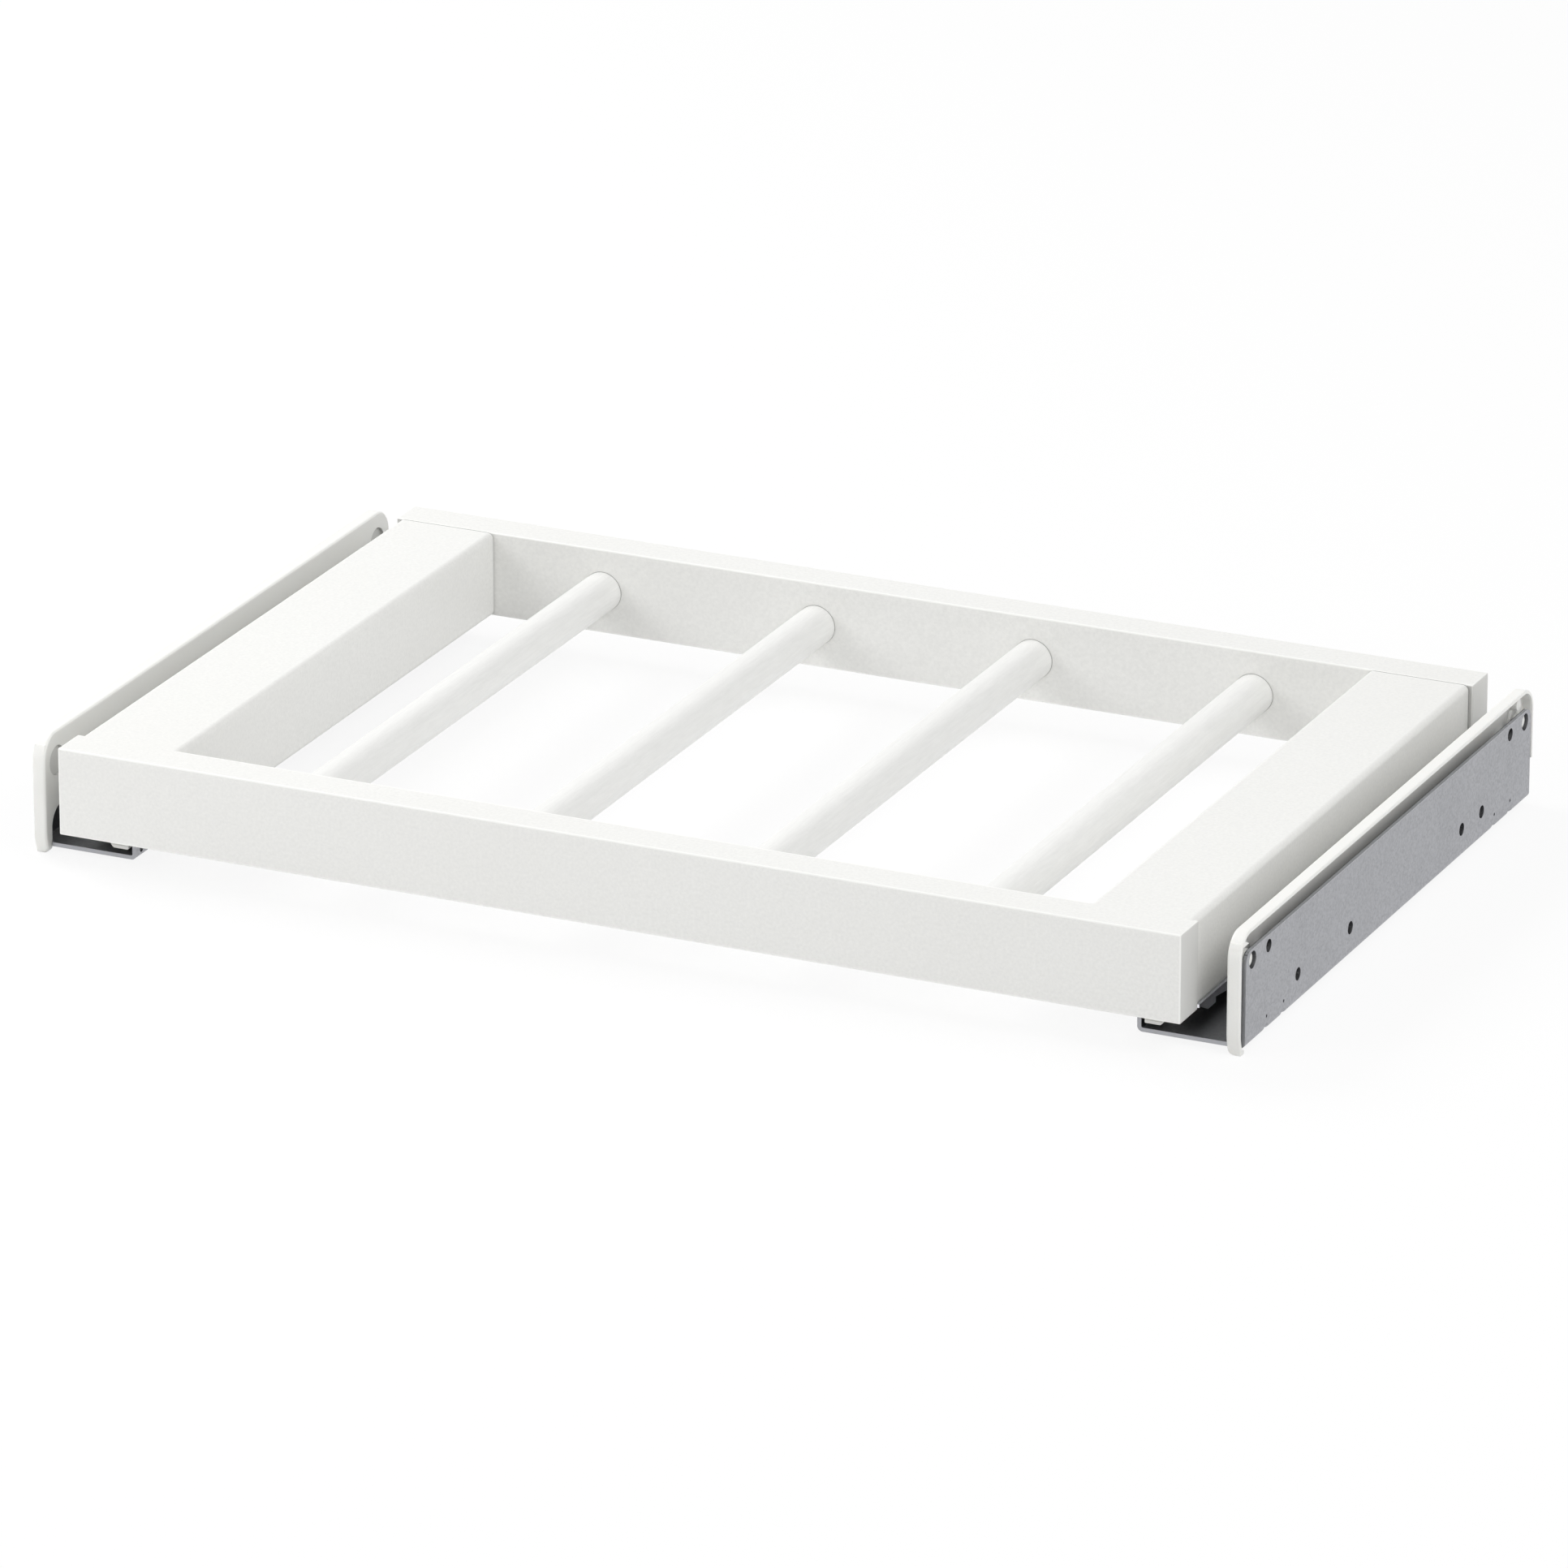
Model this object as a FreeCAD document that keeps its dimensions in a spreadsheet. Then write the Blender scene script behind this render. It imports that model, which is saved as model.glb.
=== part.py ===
import FreeCAD, Part
import os
from math import cos, pi, sin

import Sketcher

# Pull-out trouser rack for a wardrobe: a frame of two end rails and two side rails that carries
# four round rods, rolling on a pair of telescopic ball slides between two steel wall brackets.
#
# Frame of the part: X to the right, Y to the back, Z up. The origin is the middle of the depth
# and width, level with the feet of the bracket covers. All lengths are millimetres.

SIZES = {
    # Rack frame
    "overall_depth": 284.0,
    "frame_base": 14.0,
    "end_rail_length": 428.0,
    "end_rail_thick": 14.8,
    "end_rail_round": 0.5,
    "rail_height": 32.4,
    "side_rail_width": 38.4,
    "side_rail_length": 252.0,
    "side_rail_inset": 1.5,
    "side_rail_round": 2.2,
    "side_rail_end_round": 0.35,
    # Rods
    "rod_diameter": 15.0,
    "rod_wall": 1.2,
    "rod_pitch": 86.4,
    "socket_depth": 8.0,
    "socket_lead": 0.1,
    "seat_gap": 0.1,
    # Joints of the frame
    "dowel_diameter": 8.0,
    "dowel_pitch": 20.0,
    "dowel_in_end_rail": 9.0,
    "dowel_in_side_rail": 15.0,
    "back_screw_diameter": 4.0,
    "back_screw_head": 8.0,
    "back_screw_length": 45.0,
    "back_screw_sink": 0.2,
    "back_screw_cross": 5.0,
    "back_screw_cross_depth": 1.6,
    "cross_slot": 0.9,
    # Wall brackets
    "mount_width": 463.0,
    "bracket_setback": 15.3,
    "bracket_base": 2.45,
    "bracket_length": 264.0,
    "bracket_height": 34.55,
    "bracket_floor": 39.7,
    "bracket_lip": 8.0,
    "bracket_sheet": 1.5,
    "bracket_corner": 4.0,
    "lip_corner": 2.0,
    "bend_outside": 2.0,
    "bend_inside": 0.6,
    "wall_hole": 4.7,
    "stud_hole": 6.3,
    "lip_hole": 2.4,
    "lip_hole_along": 4.1,
    "lip_hole_up": 3.05,
    "foot_notch_outer": 4.2,
    "foot_notch_inner": 6.2,
    "foot_notch_depth": 1.4,
    "upper_row": 30.55,
    "lower_row": 10.55,
    "stud_inset": 5.7,
    "upper_inset": 20.0,
    "lower_inset": 46.7,
    "middle_hole_front": 94.1,
    "middle_hole_back": 198.2,
    "gusset_first": 18.9,
    "gusset_second": 34.1,
    "gusset_diameter": 6.4,
    "gusset_out": 1.3,
    "gusset_reach": 6.0,
    "gusset_rib": 3.0,
    "gusset_leg": 2.5,
    "gusset_tip": 1.2,
    "gusset_tip_up": 5.2,
    "gusset_tip_depth": 0.3,
    # Bracket covers
    "cover_setback": 11.85,
    "cover_inside": 225.7,
    "cover_width": 5.0,
    "cover_height": 44.0,
    "cover_panel": 1.3,
    "cover_end_wall": 1.5,
    "cover_top_wall": 1.2,
    "cover_corner": 9.0,
    "cover_soft_edge": 1.1,
    "cover_rim_bevel": 0.3,
    "cover_skirt": 16.3,
    "cover_strip": 4.45,
    "cover_strip_arc": 7.5,
    "foot_lean": 1.7,
    "foot_height": 6.5,
    "foot_arc": 18.0,
    "foot_round": 2.5,
    "hook_front": 2.7,
    "hook_back": 1.5,
    "stud_dish": 11.0,
    "stud_dish_depth": 1.2,
    "stud_backing": 12.6,
    "stud_backing_length": 1.0,
    "stud_boss": 7.0,
    "stud_boss_length": 2.9,
    "stud_pin": 5.0,
    "stud_pin_length": 3.45,
    "stud_lead": 0.4,
    "tab_height": 40.0,
    "tab_reach": 8.5,
    "tab_thick": 1.8,
    "boss_along": 259.7,
    "boss_height": 39.9,
    "boss_diameter": 4.2,
    "boss_sink": 1.0,
    # Slides
    "slide_centre": 203.1,
    "slide_sheet": 1.0,
    "fixed_setback": 46.7,
    "fixed_half_width": 9.2,
    "fixed_height": 5.15,
    "fixed_length": 217.0,
    "middle_half_width": 6.7,
    "middle_height": 6.1,
    "middle_level": 6.0,
    "middle_length": 213.0,
    "drawer_half_width": 4.2,
    "drawer_height": 4.0,
    "drawer_length": 251.0,
    "bend_small": 0.4,
    "bend_large": 1.0,
    "clip_level": 6.1,
    "clip_inner": 8.4,
    "clip_foot": 2.6,
    "clip_slope": 1.9,
    "clip_round": 0.4,
    "clip_groove": 0.35,
    "clip_groove_up": 1.1,
    "clip_plug_height": 2.3,
    "clip_plug_length": 8.0,
    "buffer_thick": 3.6,
    "buffer_gap": 0.4,
    "buffer_half_width": 5.0,
    "buffer_height": 7.5,
    # Balls and cages
    "ball_diameter": 2.5,
    "race_diameter": 2.6,
    "ball_pitch": 9.7,
    "outer_row_up": 3.55,
    "inner_row_down": 2.4,
    "cage_length": 80.0,
    "cage_sheet": 0.35,
    "cage_side": 0.7,
    "outer_cage_half": 7.8,
    "outer_cage_up": 1.35,
    "outer_cage_height": 3.7,
    "inner_cage_half": 5.3,
    "inner_cage_up": 3.65,
    "inner_cage_height": 4.4,
    # Runner plates under the side rails
    "runner_sheet": 1.2,
    "runner_inner": 193.9,
    "runner_outer": 212.8,
    "runner_setback": 19.5,
    "runner_length": 256.5,
    "wing_sheet": 1.0,
    "wing_start": 1.5,
    "wing_foot": 8.0,
    "wing_foot_end": 14.6,
    "wing_ramp_end": 31.5,
    "wing_end": 220.0,
    "wing_neck": 1.1,
    "wing_drop": 3.2,
    # Small fasteners
    "profile_screw_diameter": 3.5,
    "profile_screw_head": 5.6,
    "profile_screw_head_height": 1.6,
    "profile_screw_head_bevel": 0.5,
    "profile_screw_length": 17.0,
    "profile_screw_cross": 3.4,
    "profile_screw_cross_depth": 1.1,
    "profile_screw_first": 22.0,
    "profile_screw_pitch": 69.0,
    "screw_point": 3.0,
    "rivet_diameter": 3.0,
    "rivet_head": 5.0,
    "rivet_head_height": 0.8,
    "rivet_first": 12.5,
    "rivet_pitch": 64.0,
}

ROD_COUNT = 4
BALLS_PER_ROW = 8
FASTENERS_PER_RAIL = 4
SIDES = {"left": -1, "right": 1}

# Levels and places that several pieces share, as expressions on the sheet.
FRONT = "-Sizes.overall_depth / 2"
RAIL_BACK = f"({FRONT} + Sizes.end_rail_thick)"
SIDE_RAIL_X = "(Sizes.end_rail_length / 2 - Sizes.side_rail_inset - Sizes.side_rail_width / 2)"
FRAME_MIDDLE = "(Sizes.frame_base + Sizes.rail_height / 2)"
ROD_SEAT = "(Sizes.rod_diameter + Sizes.seat_gap)"
DOWEL_HOLE = "(Sizes.dowel_diameter + Sizes.seat_gap)"
BACK_SCREW_HOLE = "(Sizes.back_screw_diameter + Sizes.seat_gap)"
PROFILE_SCREW_HOLE = "(Sizes.profile_screw_diameter + Sizes.seat_gap)"
RIVET_HOLE = "(Sizes.rivet_diameter + Sizes.seat_gap)"
FLOOR_TOP = "(Sizes.bracket_base + Sizes.bracket_sheet)"
BRACKET_FRONT = f"({FRONT} + Sizes.bracket_setback)"
COVER_LENGTH = "(Sizes.overall_depth - Sizes.cover_setback)"
STUD_ROW = "(Sizes.upper_row + Sizes.bracket_base)"
STUD_FRONT = "(Sizes.stud_inset + Sizes.bracket_setback - Sizes.cover_setback)"
STUD_BACK = f"({STUD_FRONT} + Sizes.bracket_length - 2 * Sizes.stud_inset)"
FIXED_FRONT = f"({BRACKET_FRONT} + Sizes.fixed_setback)"
MIDDLE_BACK = f"({FIXED_FRONT} + Sizes.fixed_length - Sizes.buffer_thick - Sizes.buffer_gap)"
DRAWER_FRONT = f"({MIDDLE_BACK} - Sizes.drawer_length)"
CAGE_MIDDLE = f"(({FIXED_FRONT} + {MIDDLE_BACK}) / 2)"
CLIP_FRONT = f"({RAIL_BACK} + Sizes.seat_gap)"
RUNNER_FRONT = f"({FRONT} + Sizes.runner_setback)"
RUNNER_LEVEL = "(Sizes.frame_base - Sizes.runner_sheet)"
OUTER_ROW = "(Sizes.fixed_half_width - Sizes.slide_sheet + Sizes.middle_half_width) / 2"
INNER_ROW = "(Sizes.middle_half_width - Sizes.slide_sheet + Sizes.drawer_half_width) / 2"
OUTER_ROW_LEVEL = f"({FLOOR_TOP} + Sizes.outer_row_up)"
INNER_ROW_LEVEL = f"({RUNNER_LEVEL} - Sizes.inner_row_down)"

doc = FreeCAD.newDocument("TrouserRack")
sheet = doc.addObject("Spreadsheet::Sheet", "Sizes")
for row, (alias, value) in enumerate(SIZES.items(), start=1):
    sheet.set(f"A{row}", alias.replace("_", " "))
    sheet.set(f"B{row}", str(value))
    sheet.setAlias(f"B{row}", alias)
doc.recompute()

pieces = []


# ---------------------------------------------------------------------------------------------
# Modelling helpers
# ---------------------------------------------------------------------------------------------

def new_body(label):
    """An empty body. It may hold several separate solids, as a group of dowels does."""
    body = doc.addObject("PartDesign::Body", label)
    body.Label = label
    return body


def new_sketch(body, role, lift="0"):
    """A sketch on one of the body's own origin planes, moved along that plane's normal."""
    sketch = body.newObject("Sketcher::SketchObject", f"{body.Name}_sketch")
    origin_plane = next(item for item in body.Origin.OriginFeatures if item.Role == role)
    sketch.AttachmentSupport = [(origin_plane, "")]
    sketch.MapMode = "FlatFace"
    sketch.setExpression("AttachmentOffset.Base.z", lift)
    return sketch


def constrain(sketch, kind, expression, *where):
    number = sketch.addConstraint(Sketcher.Constraint(kind, *where, 1.0))
    sketch.setExpression(f"Constraints[{number}]", expression)


def pin_point(sketch, geometry, point, across, up):
    """Tie one point of a curve to the sketch's origin."""
    constrain(sketch, "DistanceX", across, -1, 1, geometry, point)
    constrain(sketch, "DistanceY", up, -1, 1, geometry, point)


def outline(sketch, corners):
    """Closed outline of straight lines through corners, each a pair of expressions."""
    first = sketch.GeometryCount
    count = len(corners)
    ring = [FreeCAD.Vector(cos(2 * pi * step / count), sin(2 * pi * step / count), 0)
            for step in range(count)]
    for step in range(count):
        sketch.addGeometry(Part.LineSegment(ring[step], ring[(step + 1) % count]))
    for step in range(count):
        following = first + (step + 1) % count
        sketch.addConstraint(Sketcher.Constraint("Coincident", first + step, 2, following, 1))
    for step, (across, up) in enumerate(corners):
        pin_point(sketch, first + step, 1, across, up)


def rectangle(sketch, left, bottom, right, top):
    outline(sketch, [(left, bottom), (right, bottom), (right, top), (left, top)])


def circle(sketch, across, up, diameter):
    line = sketch.addGeometry(Part.Circle(FreeCAD.Vector(1, 1, 0), FreeCAD.Vector(0, 0, 1), 1))
    pin_point(sketch, line, 3, across, up)
    constrain(sketch, "Diameter", diameter, line)


def pad(body, sketch, length, reverse=False):
    feature = body.newObject("PartDesign::Pad", f"{body.Name}_pad")
    feature.Profile = sketch
    feature.setExpression("Length", length)
    feature.Reversed = reverse
    doc.recompute()
    return feature


def pocket(body, sketch, depth=None, reverse=False):
    """Cut a sketch into the body, through it where no depth is given."""
    before = body.Shape.Volume
    feature = body.newObject("PartDesign::Pocket", f"{body.Name}_pocket")
    feature.Profile = sketch
    feature.Reversed = reverse
    if depth is None:
        feature.Type = "ThroughAll"
    else:
        feature.setExpression("Length", depth)
    doc.recompute()
    if not body.Shape.Volume < before:
        raise RuntimeError(f"{feature.Name} removes nothing from {body.Label}")
    return feature


def revolve(body, sketch):
    feature = body.newObject("PartDesign::Revolution", f"{body.Name}_turned")
    feature.Profile = sketch
    feature.ReferenceAxis = (sketch, ["V_Axis"])
    feature.Angle = 360
    doc.recompute()
    return feature


def edges_where(body, wanted):
    """Names of the edges of the body's present shape that the test accepts."""
    names = [f"Edge{number}" for number, edge in enumerate(body.Shape.Edges, start=1)
             if not edge.Degenerated and wanted(edge)]
    if not names:
        raise RuntimeError(f"no edge of {body.Label} fits")
    return names


def dress(body, kind, sizes, names):
    """A fillet or chamfer on named edges of the body's present tip."""
    base = body.Tip
    feature = body.newObject(f"PartDesign::{kind}", f"{body.Name}_{kind.lower()}")
    feature.Base = (base, names)
    for prop, expression in sizes.items():
        feature.setExpression(prop, expression)
    doc.recompute()
    return feature


def fillet(body, radius, wanted):
    return dress(body, "Fillet", {"Radius": radius}, edges_where(body, wanted))


def chamfer(body, size, wanted):
    return dress(body, "Chamfer", {"Size": size}, edges_where(body, wanted))


def is_near(number, target):
    return abs(number - target) < 0.02


def runs_along(edge, axis):
    """Whether an edge is straight and parallel to the axis named x, y or z."""
    if len(edge.Vertexes) != 2 or not isinstance(edge.Curve, Part.Line):
        return False
    direction = edge.Vertexes[1].Point - edge.Vertexes[0].Point
    return is_near(abs(getattr(direction, axis)), edge.Length)


def edge_at(axis, **place):
    """A test for straight edges along an axis that pass through the given coordinates."""
    def wanted(edge):
        middle = edge.CenterOfMass
        return runs_along(edge, axis) and all(
            is_near(getattr(middle, name), value) for name, value in place.items())
    return wanted


def any_of(*tests):
    return lambda edge: any(test(edge) for test in tests)


def size(name):
    """Present value of one cell of the sheet."""
    return float(getattr(sheet, name))


def place(item, across="0", back="0", up="0"):
    for axis, expression in (("x", across), ("y", back), ("z", up)):
        item.setExpression(f"Placement.Base.{axis}", expression)


def keep(item):
    """Put a finished piece on the list of those that are written out."""
    pieces.append(item)
    return item


def mirrored(source, label):
    """The left-hand piece that matches a right-hand one."""
    twin = doc.addObject("Part::Mirroring", label)
    twin.Label = label
    twin.Source = source
    twin.Normal = (1, 0, 0)
    twin.Base = (0, 0, 0)
    return keep(twin)


def keep_pair(right_piece, stem):
    """Keep a right-hand piece and its mirror image as two nodes."""
    right_piece.Label = f"{stem}_right"
    keep(right_piece)
    mirrored(right_piece, f"{stem}_left")


def group(label, source, places, turn=None):
    """Several copies of one fastener as a single piece of separate solids."""
    copies = []
    for number, (across, back, up) in enumerate(places, start=1):
        copy = doc.addObject("App::Link", f"{label}_{number}")
        copy.LinkedObject = source
        if turn is not None:
            copy.Placement = FreeCAD.Placement(FreeCAD.Vector(), turn)
        place(copy, across, back, up)
        copies.append(copy)
    compound = doc.addObject("Part::Compound", label)
    compound.Label = label
    compound.Links = copies
    return compound


# ---------------------------------------------------------------------------------------------
# Rack frame
# ---------------------------------------------------------------------------------------------

def rod_places():
    return [f"({step} - {(ROD_COUNT - 1) / 2}) * Sizes.rod_pitch" for step in range(ROD_COUNT)]


def joint_places(pitch):
    """Places across the frame of the two fasteners in each side rail's end."""
    return [f"{side} * {SIDE_RAIL_X} + {half} * {pitch} / 2"
            for side in SIDES.values() for half in (-1, 1)]


def end_rail(label, inward, fastener, depth, rounded=lambda edge: True):
    """Front or back rail: a square bar with rod sockets and joint holes in its inner face.

    The inner face lies at the body's own y = 0, and inward is True where the bar lies behind it.
    """
    body = new_body(label)
    section = new_sketch(body, "XZ_Plane")
    half = "Sizes.end_rail_length / 2"
    rectangle(section, f"-{half}", "0", half, "Sizes.rail_height")
    pad(body, section, "Sizes.end_rail_thick", reverse=inward)
    fillet(body, "Sizes.end_rail_round", rounded)
    sockets = new_sketch(body, "XZ_Plane")
    for across in rod_places():
        circle(sockets, across, "Sizes.rail_height / 2", ROD_SEAT)
    pocket(body, sockets, "Sizes.socket_depth", reverse=not inward)
    socket_radius = (size("rod_diameter") + size("seat_gap")) / 2
    chamfer(body, "Sizes.socket_lead", lambda edge: (
        isinstance(edge.Curve, Part.Circle) and is_near(edge.Curve.Radius, socket_radius)
        and is_near(edge.CenterOfMass.y, 0)))
    joints = new_sketch(body, "XZ_Plane")
    for across in joint_places("Sizes.dowel_pitch"):
        circle(joints, across, "Sizes.rail_height / 2", fastener)
    pocket(body, joints, depth, reverse=not inward)
    return body


def front_rail():
    """Front rail, whose inner edges stay sharp so that the side rails meet it without a groove."""
    body = end_rail("front_rail", False, DOWEL_HOLE, "Sizes.dowel_in_end_rail",
                    rounded=lambda edge: not is_near(edge.CenterOfMass.y, 0))
    place(body, "0", RAIL_BACK, "Sizes.frame_base")
    keep(body)


def back_rail():
    """Back rail, with countersunk screw holes right through it."""
    body = end_rail("back_rail", True, BACK_SCREW_HOLE, None)
    sink_width = "(Sizes.back_screw_head + 2 * Sizes.back_screw_sink + 2 * Sizes.seat_gap)"
    sink_depth = f"({sink_width} - {BACK_SCREW_HOLE}) / 2"
    sinks = new_sketch(body, "XZ_Plane", "-Sizes.end_rail_thick")
    for across in joint_places("Sizes.dowel_pitch"):
        circle(sinks, across, "Sizes.rail_height / 2", sink_width)
    sink = pocket(body, sinks, sink_depth, reverse=True)
    sink.TaperAngle = -45
    doc.recompute()
    place(body, "0", f"{RAIL_BACK} + Sizes.side_rail_length", "Sizes.frame_base")
    keep(body)


def side_rail(side_name, side):
    """Flat side rail with soft long edges, drilled for dowels, back screws and runner screws."""
    body = new_body(f"side_rail_{side_name}")
    section = new_sketch(body, "XZ_Plane")
    half_width = "Sizes.side_rail_width / 2"
    rectangle(section, f"-{half_width}", "0", half_width, "Sizes.rail_height")
    pad(body, section, "Sizes.side_rail_length", reverse=True)
    fillet(body, "Sizes.side_rail_round", lambda edge: runs_along(edge, "y"))
    length = size("side_rail_length")
    fillet(body, "Sizes.side_rail_end_round", lambda edge: is_near(edge.CenterOfMass.y, length))
    ends = (
        ("0", False, DOWEL_HOLE, "Sizes.dowel_in_side_rail"),
        ("-Sizes.side_rail_length", True, BACK_SCREW_HOLE,
         "(Sizes.back_screw_length - Sizes.end_rail_thick)"),
    )
    for lift, reverse, diameter, depth in ends:
        holes = new_sketch(body, "XZ_Plane", lift)
        for half in (-1, 1):
            circle(holes, f"{half} * Sizes.dowel_pitch / 2", "Sizes.rail_height / 2", diameter)
        pocket(body, holes, depth, reverse)
    pilots = new_sketch(body, "XY_Plane")
    for along in profile_screw_places():
        circle(pilots, f"{side} * (Sizes.slide_centre - {SIDE_RAIL_X})",
               f"{DRAWER_FRONT} - {RAIL_BACK} + {along}", PROFILE_SCREW_HOLE)
    below_rail = "(Sizes.runner_sheet + Sizes.profile_screw_head_height)"
    pocket(body, pilots, f"(Sizes.profile_screw_length - {below_rail})", reverse=True)
    place(body, f"{side} * {SIDE_RAIL_X}", RAIL_BACK, "Sizes.frame_base")
    keep(body)


def hanging_rods():
    """Round steel tubes between the end rails, let into their sockets."""
    for number, across in enumerate(rod_places(), start=1):
        body = new_body(f"hanging_rod_{number}")
        section = new_sketch(body, "XZ_Plane")
        circle(section, "0", "0", "Sizes.rod_diameter")
        circle(section, "0", "0", "(Sizes.rod_diameter - 2 * Sizes.rod_wall)")
        pad(body, section, "(Sizes.side_rail_length + 2 * Sizes.socket_depth)", reverse=True)
        place(body, across, f"{RAIL_BACK} - Sizes.socket_depth", FRAME_MIDDLE)
        keep(body)


def front_dowels():
    """Dowels that join the front rail to both side rails."""
    body = new_body("front_dowels")
    section = new_sketch(body, "XZ_Plane")
    for across in joint_places("Sizes.dowel_pitch"):
        circle(section, across, "0", "Sizes.dowel_diameter")
    pad(body, section, "(Sizes.dowel_in_end_rail + Sizes.dowel_in_side_rail)", reverse=True)
    place(body, "0", f"{RAIL_BACK} - Sizes.dowel_in_end_rail", FRAME_MIDDLE)
    keep(body)


# ---------------------------------------------------------------------------------------------
# Fasteners
# ---------------------------------------------------------------------------------------------

def profile_screw_places():
    """Places of the screws along a drawer profile, from its front end."""
    return [f"(Sizes.profile_screw_first + {step} * Sizes.profile_screw_pitch)"
            for step in range(FASTENERS_PER_RAIL)]


def rivet_places():
    """Places of the rivets along a fixed profile, from its front end."""
    return [f"(Sizes.rivet_first + {step} * Sizes.rivet_pitch)"
            for step in range(FASTENERS_PER_RAIL)]


def cross_recess(body, span, depth):
    """Cross-shaped driver recess in the top of a screw head."""
    sketch = new_sketch(body, "XY_Plane")
    arm = f"{span} / 2"
    half = "Sizes.cross_slot / 2"
    corners = []
    for right, top in ((1, 1), (-1, 1), (-1, -1), (1, -1)):
        quarter = [(arm, half), (half, half), (half, arm)]
        if right != top:
            quarter.reverse()
        corners += [(f"{right} * {across}", f"{top} * {up}") for across, up in quarter]
    outline(sketch, corners)
    pocket(body, sketch, depth)


def back_screw():
    """Countersunk wood screw, head up with its top at z = 0."""
    body = new_body("back_screw")
    profile = new_sketch(body, "XZ_Plane")
    shank = "Sizes.back_screw_diameter / 2"
    head = "Sizes.back_screw_head / 2"
    outline(profile, [
        ("0", "0"),
        (head, "0"),
        (shank, f"-({head} - {shank})"),
        (shank, "-(Sizes.back_screw_length - Sizes.back_screw_sink - Sizes.screw_point)"),
        ("0", "-(Sizes.back_screw_length - Sizes.back_screw_sink)"),
    ])
    revolve(body, profile)
    cross_recess(body, "Sizes.back_screw_cross", "Sizes.back_screw_cross_depth")
    return body


def profile_screw():
    """Pan-head screw, head up with its top at z = 0."""
    body = new_body("profile_screw")
    profile = new_sketch(body, "XZ_Plane")
    shank = "Sizes.profile_screw_diameter / 2"
    head = "Sizes.profile_screw_head / 2"
    outline(profile, [
        ("0", "0"),
        (f"({head} - Sizes.profile_screw_head_bevel)", "0"),
        (head, "-Sizes.profile_screw_head_bevel"),
        (head, "-Sizes.profile_screw_head_height"),
        (shank, "-Sizes.profile_screw_head_height"),
        (shank, "-(Sizes.profile_screw_length - Sizes.screw_point)"),
        ("0", "-Sizes.profile_screw_length"),
    ])
    revolve(body, profile)
    cross_recess(body, "Sizes.profile_screw_cross", "Sizes.profile_screw_cross_depth")
    return body


def profile_rivet():
    """Rivet with its flat head down, standing on z = 0, and its shank up."""
    body = new_body("profile_rivet")
    profile = new_sketch(body, "XZ_Plane")
    shank = "Sizes.rivet_diameter / 2"
    head = "Sizes.rivet_head / 2"
    top = "(Sizes.rivet_head_height + Sizes.bracket_sheet + Sizes.slide_sheet)"
    outline(profile, [
        ("0", "0"),
        (f"({head} - Sizes.rivet_head_height / 2)", "0"),
        (head, "Sizes.rivet_head_height / 2"),
        (head, "Sizes.rivet_head_height"),
        (shank, "Sizes.rivet_head_height"),
        (shank, top),
        ("0", top),
    ])
    revolve(body, profile)
    return body


def frame_screws():
    """Screws through the back rail into the ends of the side rails."""
    back_face = f"{RAIL_BACK} + Sizes.side_rail_length + Sizes.end_rail_thick"
    head_top = f"{back_face} - Sizes.back_screw_sink"
    places = [(across, head_top, FRAME_MIDDLE) for across in joint_places("Sizes.dowel_pitch")]
    head_to_back = FreeCAD.Rotation(FreeCAD.Vector(1, 0, 0), -90)
    keep(group("back_screws", back_screw(), places, head_to_back))


def runner_screws():
    """Pan-head screws that hold drawer profile and runner plate up against the side rail."""
    head_level = f"{RUNNER_LEVEL} - Sizes.slide_sheet - Sizes.profile_screw_head_height"
    places = [("Sizes.slide_centre", f"{DRAWER_FRONT} + {along}", head_level)
              for along in profile_screw_places()]
    head_down = FreeCAD.Rotation(FreeCAD.Vector(1, 0, 0), 180)
    keep_pair(group("profile_screws_right", profile_screw(), places, head_down), "profile_screws")


def floor_rivets():
    """Rivets that hold the fixed profile on the bracket's floor."""
    head_level = "Sizes.bracket_base - Sizes.rivet_head_height"
    places = [("Sizes.slide_centre", f"{FIXED_FRONT} + {along}", head_level)
              for along in rivet_places()]
    keep_pair(group("profile_rivets_right", profile_rivet(), places), "profile_rivets")


# ---------------------------------------------------------------------------------------------
# Wall brackets and their covers
# ---------------------------------------------------------------------------------------------

def gusset_places():
    return [f"Sizes.{name}" for name in ("gusset_first", "gusset_second")] + [
        f"(Sizes.bracket_length - Sizes.{name})" for name in ("gusset_second", "gusset_first")]


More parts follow.
